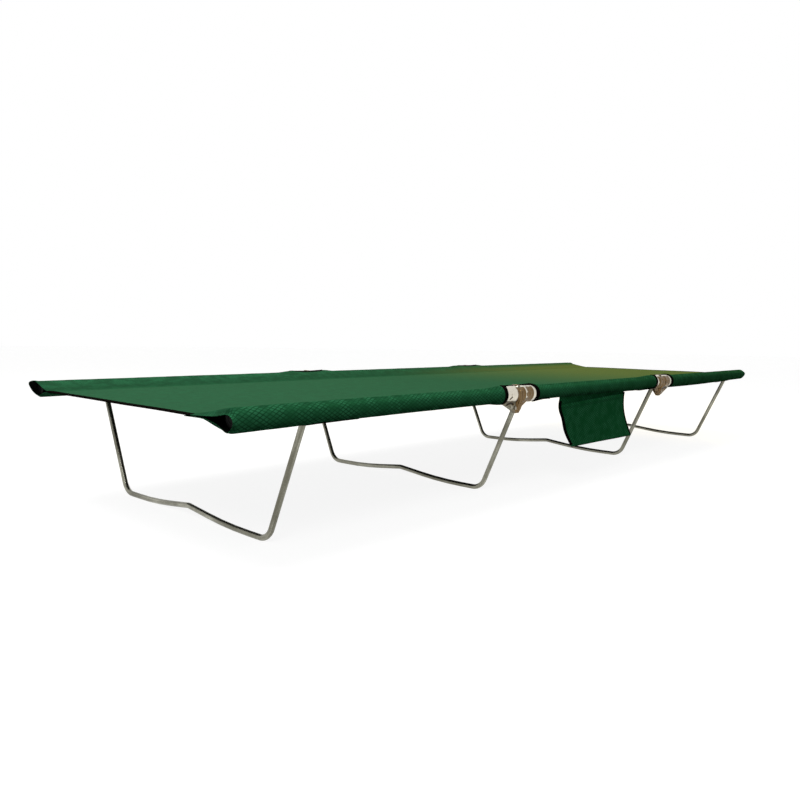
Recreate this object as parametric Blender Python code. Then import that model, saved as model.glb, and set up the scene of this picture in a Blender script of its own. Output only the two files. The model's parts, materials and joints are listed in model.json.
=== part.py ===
# Camping cot: a low fabric bed on six aluminium rail tubes, joined end to end by
# four cast hinges, and carried by four bent steel rod legs.
# The head is at -X and the foot at +X, the rail with the pocket is at -Y, +Z is up.
# The origin is on the floor, under the middle of the bed. All sizes are in metres.

import math

import bmesh
import bpy
from mathutils import Vector

# Bed
MIDDLE_SECTION_LENGTH = 0.635
END_SECTION_LENGTH = 0.635
RAIL_SPACING = 0.6075
RAIL_HEIGHT = 0.1985

# Rail tubes and their plugs
TUBE_RADIUS = 0.0127
TUBE_WALL = 0.0014
TUBE_END_INSET = 0.018
PLUG_CAP_THICKNESS = 0.003
PLUG_STEM_LENGTH = 0.015

# Cover: one cloth with a sewn sleeve along each side
CLOTH_THICKNESS = 0.0014
SLEEVE_SLACK = 0.0006
SEAM_INSET = 0.076
CUTOUT_MARGIN = 0.0018
BINDING_THICKNESS = 0.0008
BINDING_WIDTH = 0.012

# Pocket under the near rail
POCKET_LENGTH = 0.290
POCKET_CENTRE_X = -0.013
POCKET_DROP = 0.108
POCKET_ROOM = 0.0062
POCKET_MOUTH = 0.012

# Cast hinges
CASTING_LENGTH = 0.049
CASTING_WALL = 0.0035
SOCKET_FLOOR = 0.0077
LOBE_DROP = 0.036
LOBE_TIP_LENGTH = 0.0045
WEB_THICKNESS = 0.006
FLANGE_THICKNESS = 0.005
FLANGE_HALF_WIDTH = 0.0175
KNUCKLE_RADIUS = 0.0055
KNUCKLE_HALF_WIDTH = 0.007
FOLD_ROOM = 0.0013
HINGE_PIN_RADIUS = 0.0025
STUD_RADIUS = 0.0022
STUD_SETBACK = 0.0095
STUD_DROP = 0.025

# Rivets and leg pins
RIVET_RADIUS = 0.0024
RIVET_SETBACK = 0.030
LEG_PIN_RADIUS = 0.003
HEAD_THICKNESS = 0.001
HEAD_OVERHANG = 0.002

# Legs
ROD_RADIUS = 0.00475
FOOT_SPREAD = 0.2185
KINK_RISE = 0.0128
KINK_BEND = 0.025
CORNER_BEND = 0.038
SLOPE_START = 0.115
SLOPE_BEND = 1.0
FOOT_FLAT_DEPTH = 0.0003
EYE_RADIUS = 0.0065
EYE_THICKNESS = 0.011
END_LEG_SETBACK = 0.1335
MIDDLE_LEG_SETBACK = 0.0155
LEG_FOLD = math.radians(80)
SLOT_CLEARANCE = 0.0012

# Fits and facets
GAP = 0.0003
WELD_DISTANCE = 1e-6
ROUND_SIDES = 16
PIN_SIDES = 10
ROD_BEVEL_STEPS = 3
SMOOTH_ANGLE = math.radians(35)

# Worked out from the driving sizes
HINGE_X = MIDDLE_SECTION_LENGTH / 2
BED_END_X = HINGE_X + END_SECTION_LENGTH
RAIL_Y = RAIL_SPACING / 2
TUBE_INNER = TUBE_RADIUS - TUBE_WALL
SLEEVE_INNER = TUBE_RADIUS + SLEEVE_SLACK
SLEEVE_OUTER = SLEEVE_INNER + CLOTH_THICKNESS
HINGE_PIN_RISE = SLEEVE_OUTER + FOLD_ROOM
CASTING_TOP = HINGE_PIN_RISE - GAP
SOCKET_RADIUS = TUBE_RADIUS + GAP
CASTING_RADIUS = SOCKET_RADIUS + CASTING_WALL
TUBE_START = SOCKET_FLOOR + GAP
TUBE_END_X = BED_END_X - TUBE_END_INSET
CUTOUT_LENGTH = CASTING_LENGTH + GAP
CUTOUT_INBOARD = max(FLANGE_HALF_WIDTH, CASTING_RADIUS + GAP + HEAD_THICKNESS) + CUTOUT_MARGIN
END_LEG_X = BED_END_X - END_LEG_SETBACK
MIDDLE_LEG_X = HINGE_X - MIDDLE_LEG_SETBACK
ROD_FLOOR = ROD_RADIUS - FOOT_FLAT_DEPTH
LEG_LEAN = (RAIL_Y - FOOT_SPREAD) / (RAIL_HEIGHT - ROD_FLOOR)
SLOT_HALF_WIDTH = ROD_RADIUS + SLOT_CLEARANCE
SLOT_OUTBOARD = ROD_RADIUS * math.hypot(1, LEG_LEAN) - TUBE_INNER * LEG_LEAN + SLOT_CLEARANCE
WEB_INNER = SLOT_OUTBOARD + GAP
WEB_OUTER = WEB_INNER + WEB_THICKNESS

SIDES = ((-1, "near"), (1, "far"))
ENDS = ((-1, "head"), (1, "foot"))


def clear_scene():
    for item in list(bpy.data.objects):
        bpy.data.objects.remove(item, do_unlink=True)


def make_material(name, colour, roughness, metallic):
    material = bpy.data.materials.new(name)
    material.use_nodes = True
    shader = material.node_tree.nodes["Principled BSDF"]
    shader.inputs["Base Color"].default_value = (*colour, 1.0)
    shader.inputs["Roughness"].default_value = roughness
    shader.inputs["Metallic"].default_value = metallic
    return material


def add_object(name, data, parent, world):
    item = bpy.data.objects.new(name, data)
    bpy.context.scene.collection.objects.link(item)
    item.parent = parent
    item.location = Vector(world) - (Vector(parent["world"]) if parent else Vector())
    return item


def add_axis(name, parent, world):
    axis = add_object(name, None, parent, world)
    axis["world"] = world
    axis.empty_display_size = 0.05
    return axis


def add_piece(name, mesh, material, parent, world):
    piece = add_object(name, mesh, parent, world)
    mesh.materials.append(material)
    mesh.shade_smooth()
    mesh.set_sharp_from_angle(angle=SMOOTH_ANGLE)
    return piece


def finished_mesh(name, shape):
    bmesh.ops.recalc_face_normals(shape, faces=shape.faces[:])
    mesh = bpy.data.meshes.new(name)
    shape.to_mesh(mesh)
    shape.free()
    return mesh


def extruded(name, outlines, low, high, to_xyz):
    # Outlines are lists of (a, b), the outer one first and holes after it.
    # They are filled and pushed from low to high; to_xyz(a, b, depth) places a point.
    shape = bmesh.new()
    edges = []
    for outline in outlines:
        corners = [shape.verts.new(to_xyz(a, b, low)) for a, b in outline]
        for start, end in zip(corners, corners[1:] + corners[:1]):
            edges.append(shape.edges.new((start, end)))
    bmesh.ops.triangle_fill(shape, edges=edges, use_beauty=True)
    pushed = bmesh.ops.extrude_face_region(shape, geom=shape.faces[:])
    moved = [v for v in pushed["geom"] if isinstance(v, bmesh.types.BMVert)]
    step = Vector(to_xyz(0, 0, high)) - Vector(to_xyz(0, 0, low))
    bmesh.ops.translate(shape, verts=moved, vec=step)
    return finished_mesh(name, shape)


def circle(radius, sides, centre=(0.0, 0.0)):
    turns = [2 * math.pi * (i + 0.5) / sides for i in range(sides)]
    return [(centre[0] + radius * math.cos(t), centre[1] + radius * math.sin(t)) for t in turns]


def turned(name, profile, sides, to_xyz):
    # The profile runs from the axis out and back to it, as (radius, along) points.
    shape = bmesh.new()
    half_step = math.pi / sides
    a, b = math.cos(half_step), math.sin(half_step)
    line = [shape.verts.new(to_xyz(radius * a, radius * b, along)) for radius, along in profile]
    edges = [shape.edges.new(pair) for pair in zip(line, line[1:])]
    axis = Vector(to_xyz(0, 0, 1)) - Vector(to_xyz(0, 0, 0))
    bmesh.ops.spin(
        shape, geom=line + edges, cent=to_xyz(0, 0, 0), axis=axis, angle=2 * math.pi, steps=sides
    )
    bmesh.ops.remove_doubles(shape, verts=shape.verts[:], dist=WELD_DISTANCE)
    return finished_mesh(name, shape)


def along_x(a, b, depth):
    return (depth, a, b)


def along_y(a, b, depth):
    return (a, depth, b)


def headed_pin_mesh(name, radius, low, high, head_radius):
    profile = [
        (0.0, low),
        (head_radius, low),
        (head_radius, low + HEAD_THICKNESS),
        (radius, low + HEAD_THICKNESS),
        (radius, high - HEAD_THICKNESS),
        (head_radius, high - HEAD_THICKNESS),
        (head_radius, high),
        (0.0, high),
    ]
    return turned(name, profile, PIN_SIDES, along_y)


def combine(target, tool, operation):
    modifier = target.modifiers.new(tool.name, "BOOLEAN")
    modifier.operation = operation
    modifier.solver = "EXACT"
    modifier.object = tool
    tool.hide_render = True
    tool.display_type = "WIRE"


def add_tool(target, mesh, operation):
    tool = bpy.data.objects.new(mesh.name, mesh)
    bpy.context.scene.collection.objects.link(tool)
    tool.parent = target.parent
    tool.location = target.location
    combine(target, tool, operation)
    return tool


def tube_mesh(name, start, end):
    rings = [circle(TUBE_RADIUS, ROUND_SIDES), circle(TUBE_INNER, ROUND_SIDES)]
    return extruded(name, rings, start, end, along_x)


def slot_outline(swing, reach):
    # The side view of the space that a rod sweeps as its leg folds toward swing (+1 or -1),
    # around the leg pin at (0, 0).
    width = SLOT_HALF_WIDTH
    folded_x = reach * math.sin(LEG_FOLD) + width * math.cos(LEG_FOLD)
    folded_z = width * math.sin(LEG_FOLD) - reach * math.cos(LEG_FOLD)
    half_way = LEG_FOLD / 2
    points = [
        (-width, width),
        (-width, -reach),
        (reach * math.sin(half_way), -reach),
        (folded_x, -reach * math.cos(half_way)),
        (folded_x, folded_z),
        (0.0, width),
    ]
    return [(swing * a, b) for a, b in points]


def cut_leg_slot(target, name, pin_x, swing, side):
    # side is the rail's side in Y, +1 or -1; the slot opens toward the middle of the bed.
    outline = [(pin_x + a, b) for a, b in slot_outline(swing, CASTING_LENGTH)]
    to_xyz = lambda a, b, depth: (a, side * depth, b)
    inboard = 2 * CASTING_RADIUS
    add_tool(target, extruded(name, [outline], -inboard, SLOT_OUTBOARD, to_xyz), "DIFFERENCE")


def cut_cloth_slot(target, name, centre, swing, side):
    # The same slot in a sleeve's lower layer, as long as the folded rod needs it.
    slope = SLEEVE_OUTER / math.sqrt(SEAM_INSET**2 - SLEEVE_OUTER**2)
    room = SEAM_INSET * slope + SLOT_HALF_WIDTH
    reach = room / (math.cos(LEG_FOLD) + LEG_LEAN * slope)
    inboard = reach * LEG_LEAN + 2 * ROD_RADIUS
    top = -CLOTH_THICKNESS
    outline = [
        (-SLOT_HALF_WIDTH, top),
        (-SLOT_HALF_WIDTH, -reach),
        (reach * math.sin(LEG_FOLD), -reach),
        (reach * math.sin(LEG_FOLD), top),
    ]
    outline = [(centre[0] + swing * a, centre[2] + b) for a, b in outline]
    to_xyz = lambda a, b, depth: (a, centre[1] + side * depth, b)
    add_tool(target, extruded(name, [outline], -inboard, SLOT_OUTBOARD, to_xyz), "DIFFERENCE")


def add_tube(name, start, end, side, parent, material):
    middle = (start + end) / 2
    half = abs(end - start) / 2
    world = (middle, side * RAIL_Y, RAIL_HEIGHT)
    return add_piece(name, tube_mesh(name, -half, half), material, parent, world)


def drill(target, name, radius, x, z=0.0):
    reach = 2 * CASTING_RADIUS
    hole = extruded(name, [circle(radius + GAP, PIN_SIDES, (x, z))], -reach, reach, along_y)
    add_tool(target, hole, "DIFFERENCE")


def hinge_half(name, outward, hinge_x, side, is_end_half, parent, material):
    # One half of a rail hinge. In its own terms u runs from the joint face into the half,
    # v points away from the bed's middle and w is up, from the rail's centre line.
    world = (hinge_x, side * RAIL_Y, RAIL_HEIGHT)
    across = lambda v, w, u: (outward * u, side * v, w)
    along = lambda u, w, v: (outward * u, side * v, w)

    barrel = [(v, min(w, CASTING_TOP)) for v, w in circle(CASTING_RADIUS, ROUND_SIDES)]
    mesh = extruded(name, [barrel], GAP / 2, CASTING_LENGTH, across)
    half = add_piece(name, mesh, material, parent, world)

    lobe_width = WEB_OUTER
    flange = [
        (-FLANGE_HALF_WIDTH, CASTING_TOP / 2),
        (-FLANGE_HALF_WIDTH, -CASTING_TOP / 2),
        (-lobe_width, -LOBE_DROP + LOBE_TIP_LENGTH),
        (-lobe_width / 2, -LOBE_DROP),
        (lobe_width / 2, -LOBE_DROP),
        (lobe_width, -LOBE_DROP + LOBE_TIP_LENGTH),
        (FLANGE_HALF_WIDTH, -CASTING_TOP / 2),
        (FLANGE_HALF_WIDTH, CASTING_TOP / 2),
    ]
    flange_end = GAP / 2 + FLANGE_THICKNESS
    add_tool(half, extruded(name + "_flange", [flange], GAP / 2, flange_end, across), "UNION")

    web = [
        (GAP / 2, -TUBE_RADIUS),
        (GAP / 2, -LOBE_DROP),
        (LOBE_TIP_LENGTH, -LOBE_DROP),
        (CASTING_LENGTH - HEAD_OVERHANG, -CASTING_RADIUS),
        (CASTING_LENGTH - HEAD_OVERHANG, -TUBE_RADIUS),
    ]
    add_tool(half, extruded(name + "_web", [web], WEB_INNER, WEB_OUTER, along), "UNION")

    # The end half holds the two outer knuckles and the middle half the one between them.
    inner = KNUCKLE_HALF_WIDTH
    outer = CASTING_RADIUS - GAP
    pin_centre = (0.0, HINGE_PIN_RISE)
    sides = [(-outer, -inner - GAP), (inner + GAP, outer)] if is_end_half else [(-inner, inner)]
    reach = 2 * CASTING_RADIUS
    rooms = [(-inner - GAP, inner + GAP)] if is_end_half else [(-reach, -inner), (inner, reach)]
    for number, (low, high) in enumerate(rooms):
        room = [circle(KNUCKLE_RADIUS + GAP, ROUND_SIDES, pin_centre)]
        add_tool(half, extruded(f"{name}_room_{number}", room, low, high, along), "DIFFERENCE")
    for number, (low, high) in enumerate(sides):
        knuckle = [circle(KNUCKLE_RADIUS, ROUND_SIDES, pin_centre)]
        add_tool(half, extruded(f"{name}_knuckle_{number}", knuckle, low, high, along), "UNION")

    bore = [circle(SOCKET_RADIUS, ROUND_SIDES)]
    socket = extruded(name + "_socket", bore, SOCKET_FLOOR, 2 * CASTING_LENGTH, across)
    add_tool(half, socket, "DIFFERENCE")
    drill(half, name + "_pin_hole", HINGE_PIN_RADIUS, 0.0, HINGE_PIN_RISE)
    if is_end_half:
        drill(half, name + "_rivet_hole", RIVET_RADIUS, outward * RIVET_SETBACK)
        drill(half, name + "_stud_hole", STUD_RADIUS, outward * STUD_SETBACK, -STUD_DROP)
    else:
        pin_x = outward * MIDDLE_LEG_SETBACK
        drill(half, name + "_leg_pin_hole", LEG_PIN_RADIUS, pin_x)
        cut_leg_slot(half, name + "_slot", pin_x, outward, side)
    return half


def headed_pin(name, radius, world, parent, material):
    seat = CASTING_RADIUS + GAP
    reach = seat + HEAD_THICKNESS
    mesh = headed_pin_mesh(name, radius, -reach, reach, radius + HEAD_OVERHANG)
    return add_piece(name, mesh, material, parent, world)


def rounded_path(points, bends, step=math.radians(12)):
    # The line through the points in the YZ plane, with an arc of the given radius at each
    # inner point and a point on the arc for about every step of its turn.
    path = [Vector(points[0])]
    for before, corner, after, bend in zip(points, points[1:], points[2:], bends):
        corner = Vector(corner)
        back = (Vector(before) - corner).normalized()
        ahead = (Vector(after) - corner).normalized()
        turn = math.pi - back.angle(ahead)
        centre = corner + (back + ahead).normalized() * bend / math.cos(turn / 2)
        start = corner + back * bend * math.tan(turn / 2)
        spoke = start - centre
        sense = 1 if back.cross(ahead) < 0 else -1
        count = max(2, round(turn / step))
        for i in range(count + 1):
            angle = sense * turn * i / count
            turned = Vector((
                spoke.x * math.cos(angle) - spoke.y * math.sin(angle),
                spoke.x * math.sin(angle) + spoke.y * math.cos(angle),
            ))
            path.append(centre + turned)
    path.append(Vector(points[-1]))
    return path


def rod_mesh(name, path):
    curve = bpy.data.curves.new(name + "_line", "CURVE")
    curve.dimensions = "3D"
    curve.bevel_depth = ROD_RADIUS
    curve.bevel_resolution = ROD_BEVEL_STEPS
    curve.use_fill_caps = True
    line = curve.splines.new("POLY")
    line.points.add(len(path) - 1)
    for point, (y, z) in zip(line.points, path):
        point.co = (0.0, y, z, 1.0)
    holder = bpy.data.objects.new(name + "_line", curve)
    bpy.context.scene.collection.objects.link(holder)
    bpy.context.view_layer.update()
    evaluated = holder.evaluated_get(bpy.context.evaluated_depsgraph_get())
    mesh = bpy.data.meshes.new_from_object(evaluated)
    mesh.name = name
    bpy.data.objects.remove(holder)
    shape = bmesh.new()
    shape.from_mesh(mesh)
    bmesh.ops.remove_doubles(shape, verts=shape.verts[:], dist=WELD_DISTANCE)
    bpy.data.meshes.remove(mesh)
    return finished_mesh(name, shape)


def add_leg(name, world, parent, material):
    # The origin is on the line of the two leg pins. The rod leans outward as it rises.
    floor = ROD_FLOOR - RAIL_HEIGHT
    corners = [
        (-RAIL_Y, 0.0),
        (-FOOT_SPREAD, floor),
        (-SLOPE_START, floor),
        (0.0, floor + KINK_RISE),
        (SLOPE_START, floor),
        (FOOT_SPREAD, floor),
        (RAIL_Y, 0.0),
    ]
    bends = [CORNER_BEND, SLOPE_BEND, KINK_BEND, SLOPE_BEND, CORNER_BEND]
    leg = add_piece(name, rod_mesh(name, rounded_path(corners, bends)), material, parent, world)
    for side, label in ((-1, "near"), (1, "far")):
        half = EYE_THICKNESS / 2
        to_xyz = lambda a, b, depth: (a, side * RAIL_Y + depth, b)
        eye = extruded(f"{name}_{label}_eye", [circle(EYE_RADIUS, ROUND_SIDES)], -half, half, to_xyz)
        add_tool(leg, eye, "UNION")
        hole = [circle(LEG_PIN_RADIUS + GAP, PIN_SIDES)]
        reach = 2 * CASTING_RADIUS
        add_tool(leg, extruded(f"{name}_{label}_hole", hole, -reach, reach, to_xyz), "DIFFERENCE")
    # A worn flat where the rod stands on the floor.
    ground = [(-FOOT_SPREAD, -RAIL_HEIGHT), (FOOT_SPREAD, -RAIL_HEIGHT)]
    ground += [(FOOT_SPREAD, -RAIL_HEIGHT - CORNER_BEND), (-FOOT_SPREAD, -RAIL_HEIGHT - CORNER_BEND)]
    half = 2 * ROD_RADIUS
    add_tool(leg, extruded(name + "_ground", [ground], -half, half, along_x), "DIFFERENCE")
    return leg


def sleeve_section(radius, seam):
    # A teardrop in (v, w): round over the tube and straight to the seam on the inboard side.
    # v points away from the bed's middle. The point at the seam is left to the caller.
    meet = math.acos(radius / seam)
    low = -math.pi + meet
    high = math.pi - meet
    count = ROUND_SIDES * 3 // 4
    turns = [low + (high - low) * i / count for i in range(count + 1)]
    return [(radius * math.cos(t), radius * math.sin(t)) for t in turns]


def cover_sections():
    # The outline of the whole cloth in (y, z) from the rails' centre line, and its two holes.
    half_cloth = CLOTH_THICKNESS / 2
    seam_y = RAIL_Y - SEAM_INSET
    outside = sleeve_section(SLEEVE_OUTER, SEAM_INSET)
    inside = sleeve_section(SLEEVE_INNER, SEAM_INSET - 2 * CLOTH_THICKNESS)
    far = [(RAIL_Y + v, w) for v, w in outside]
    near = [(-RAIL_Y - v, w) for v, w in reversed(outside)]
    outer = far + [(seam_y, half_cloth), (-seam_y, half_cloth)] + near
    outer += [(-seam_y, -half_cloth), (seam_y, -half_cloth)]
    tip = SEAM_INSET - 3 * CLOTH_THICKNESS
    far_hole = [(RAIL_Y + v, w) for v, w in inside] + [(RAIL_Y - tip, 0.0)]
    near_hole = [(-y, z) for y, z in reversed(far_hole)]
    return [outer, far_hole, near_hole]


def add_cover(name, start, end, parent, material):
    middle = (start + end) / 2
    half = abs(end - start) / 2
    mesh = extruded(name, cover_sections(), -half, half, along_x)
    return add_piece(name, mesh, material, parent, (middle, 0, RAIL_HEIGHT))


def cut_cover(cover, name, cover_x, hinge_side, leg_x, swing):
    # Openings in the sleeves: one for the hinge, and one that the leg folds through.
    for side, label in ((-1, "near"), (1, "far")):
        edge = RAIL_Y - CUTOUT_INBOARD
        x0 = hinge_side * (HINGE_X - CUTOUT_LENGTH) - cover_x
        x1 = hinge_side * (HINGE_X + CUTOUT_LENGTH) - cover_x
        outline = [(x0, edge), (x1, edge), (x1, RAIL_SPACING), (x0, RAIL_SPACING)]
        to_xyz = lambda a, b, depth: (a, side * b, depth)
        reach = 2 * SLEEVE_OUTER
        box = extruded(f"{name}_{label}_cutout", [outline], -reach, reach, to_xyz)
        add_tool(cover, box, "DIFFERENCE")
        centre = (leg_x - cover_x, side * RAIL_Y, 0.0)
        cut_cloth_slot(cover, f"{name}_{label}_slot", centre, swing, side)


def add_end_binding(name, side, parent, material):
    # A tape folded over the raw edge of the panel, between the two sleeves.
    inner = CLOTH_THICKNESS / 2 + GAP
    outer = inner + BINDING_THICKNESS
    tip = GAP + BINDING_THICKNESS
    outline = [
        (-BINDING_WIDTH, inner),
        (-BINDING_WIDTH, outer),
        (tip, outer),
        (tip, -outer),
        (-BINDING_WIDTH, -outer),
        (-BINDING_WIDTH, -inner),
        (GAP, -inner),
        (GAP, inner),
    ]
    half = RAIL_Y - SEAM_INSET - BINDING_THICKNESS
    to_xyz = lambda a, b, depth: (side * a, depth, b)
    mesh = extruded(name, [outline], -half, half, to_xyz)
    return add_piece(name, mesh, material, parent, (side * BED_END_X, 0, RAIL_HEIGHT))


def add_pocket(name, material):
    # A flat bag sewn to the underside of the near sleeve. Its front is lower, for the mouth.
    back = CLOTH_THICKNESS / 2
    front = back - 2 * CLOTH_THICKNESS - POCKET_ROOM
    outline = [
        (back, 0.0),
        (back, -POCKET_DROP),
        (front, -POCKET_DROP),
        (front, -POCKET_MOUTH),
        (front + CLOTH_THICKNESS, -POCKET_MOUTH),
        (front + CLOTH_THICKNESS, -POCKET_DROP + CLOTH_THICKNESS),
        (back - CLOTH_THICKNESS, -POCKET_DROP + CLOTH_THICKNESS),
        (back - CLOTH_THICKNESS, 0.0),
    ]
    half = POCKET_LENGTH / 2
    world = (POCKET_CENTRE_X, -RAIL_Y, RAIL_HEIGHT - SLEEVE_OUTER - GAP)
    pocket = add_piece(name, extruded(name, [outline], -half, half, along_x), material, None, world)
    # The two side edges, which close the bag.
    side_wall = [(back, 0.0), (back, -POCKET_DROP), (front, -POCKET_DROP), (front, -POCKET_MOUTH)]
    for start, label in ((-half, "head"), (half - CLOTH_THICKNESS, "foot")):
        end = start + CLOTH_THICKNESS
        add_tool(pocket, extruded(f"{name}_{label}_edge", [side_wall], start, end, along_x), "UNION")
    return pocket


def add_plug(name, outward, side, parent, material):
    # A cap over the tube's end with a stem inside it.
    cap_end = GAP + PLUG_CAP_THICKNESS
    stem_radius = TUBE_INNER - GAP
    profile = [
        (0.0, -PLUG_STEM_LENGTH),
        (stem_radius, -PLUG_STEM_LENGTH),
        (stem_radius, GAP),
        (TUBE_RADIUS, GAP),
        (TUBE_RADIUS, cap_end),
        (0.0, cap_end),
    ]
    mesh = turned(name, profile, ROUND_SIDES, lambda a, b, along: (outward * along, a, b))
    world = (outward * TUBE_END_X, side * RAIL_Y, RAIL_HEIGHT)
    return add_piece(name, mesh, material, parent, world)


def add_stud(name, outward, hinge_x, side, parent, material):
    # A headed stud through the web of an end half's lobe.
    low = WEB_INNER - GAP - HEAD_THICKNESS
    high = WEB_OUTER + GAP + HEAD_THICKNESS
    head_radius = STUD_RADIUS + HEAD_OVERHANG / 2
    mesh = headed_pin_mesh(name, STUD_RADIUS, *sorted((side * low, side * high)), head_radius)
    world = (hinge_x + outward * STUD_SETBACK, side * RAIL_Y, RAIL_HEIGHT - STUD_DROP)
    return add_piece(name, mesh, material, parent, world)


def add_middle_section(fabric, aluminium):
    for side, rail in SIDES:
        name = f"middle_{rail}_rail"
        start = -HINGE_X + TUBE_START
        tube = add_tube(name, start, -start, side, None, aluminium)
        for outward, end in ENDS:
            leg_x = outward * MIDDLE_LEG_X
            drill(tube, f"{name}_{end}_hole", LEG_PIN_RADIUS, leg_x)
            cut_leg_slot(tube, f"{name}_{end}_slot", leg_x, -outward, side)
    cover = add_cover("middle_cover", -HINGE_X + GAP, HINGE_X - GAP, None, fabric)
    for outward, end in ENDS:
        cut_cover(cover, f"middle_cover_{end}", 0.0, outward, outward * MIDDLE_LEG_X, -outward)
    add_pocket("side_pocket", fabric)


def add_end_section(outward, end, section, fabric, aluminium, tape, plastic):
    hinge_x = outward * HINGE_X
    leg_x = outward * END_LEG_X
    start = outward * (HINGE_X + GAP)
    stop = outward * BED_END_X
    cover = add_cover(f"{end}_cover", start, stop, section, fabric)
    cut_cover(cover, f"{end}_cover", (start + stop) / 2, outward, leg_x, -outward)
    add_end_binding(f"{end}_panel_binding", outward, section, tape)
    for side, rail in SIDES:
        name = f"{end}_{rail}_rail"
        tube_start = outward * (HINGE_X + TUBE_START)
        tube_end = outward * TUBE_END_X
        middle = (tube_start + tube_end) / 2
        tube = add_tube(name, tube_start, tube_end, side, section, aluminium)
        drill(tube, f"{name}_rivet_hole", RIVET_RADIUS, hinge_x + outward * RIVET_SETBACK - middle)
        drill(tube, f"{name}_pin_hole", LEG_PIN_RADIUS, leg_x - middle)
        cut_leg_slot(tube, f"{name}_slot", leg_x - middle, -outward, side)
        add_plug(f"{name}_plug", outward, side, section, plastic)


def add_hinge(outward, end, side, rail, section, casting, steel):
    label = f"{end}_{rail}"
    hinge_x = outward * HINGE_X
    y = side * RAIL_Y
    hinge_half(f"{label}_hinge_end_half", outward, hinge_x, side, True, section, casting)
    hinge_half(f"{label}_hinge_middle_half", -outward, hinge_x, side, False, None, casting)
    pin_z = RAIL_HEIGHT + HINGE_PIN_RISE
    headed_pin(f"{label}_hinge_pin", HINGE_PIN_RADIUS, (hinge_x, y, pin_z), None, steel)
    rivet_x = hinge_x + outward * RIVET_SETBACK
    headed_pin(f"{label}_rail_rivet", RIVET_RADIUS, (rivet_x, y, RAIL_HEIGHT), section, steel)
    add_stud(f"{label}_hinge_stud", outward, hinge_x, side, section, steel)


def add_leg_pins(outward, end, side, rail, section, steel):
    # The middle legs' pins also hold the castings; the end legs' pins lie inside the sleeves.
    y = side * RAIL_Y
    world = (outward * MIDDLE_LEG_X, y, RAIL_HEIGHT)
    headed_pin(f"{end}_{rail}_middle_leg_pin", LEG_PIN_RADIUS, world, None, steel)
    name = f"{end}_{rail}_end_leg_pin"
    pin = extruded(name, [circle(LEG_PIN_RADIUS, PIN_SIDES)], -TUBE_RADIUS, TUBE_RADIUS, along_y)
    add_piece(name, pin, steel, section, (outward * END_LEG_X, y, RAIL_HEIGHT))


def build_cot():
    clear_scene()
    aluminium = make_material("aluminium", (0.55, 0.56, 0.57), 0.35, 1.0)
    casting = make_material("cast_metal", (0.62, 0.60, 0.55), 0.3, 1.0)
    steel = make_material("zinc_plated_steel", (0.42, 0.43, 0.41), 0.28, 1.0)
    fabric = make_material("green_cloth", (0.02, 0.10, 0.045), 0.7, 0.0)
    tape = make_material("black_tape", (0.012, 0.011, 0.010), 0.8, 0.0)
    plastic = make_material("black_plastic", (0.015, 0.015, 0.016), 0.5, 0.0)

    add_middle_section(fabric, aluminium)
    for outward, end in ENDS:
        axis_z = RAIL_HEIGHT + HINGE_PIN_RISE
        section = add_axis(f"{end}_section_axis", None, (outward * HINGE_X, 0, axis_z))
        add_end_section(outward, end, section, fabric, aluminium, tape, plastic)
        for label, leg_x, carrier in (("end", END_LEG_X, section), ("middle", MIDDLE_LEG_X, None)):
            world = (outward * leg_x, 0, RAIL_HEIGHT)
            leg_axis = add_axis(f"{end}_{label}_leg_axis", carrier, world)
            add_leg(f"{end}_{label}_leg", world, leg_axis, steel)
        for side, rail in SIDES:
            add_hinge(outward, end, side, rail, section, casting, steel)
            add_leg_pins(outward, end, side, rail, section, steel)


build_cot()
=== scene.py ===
# Dressing for a low folding camp bed: cloth, bound edges, cast hinges and bent rod legs.
# Everything is in metres, with the head of the bed at -X and the pocket side at -Y.
import json
import math

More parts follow.
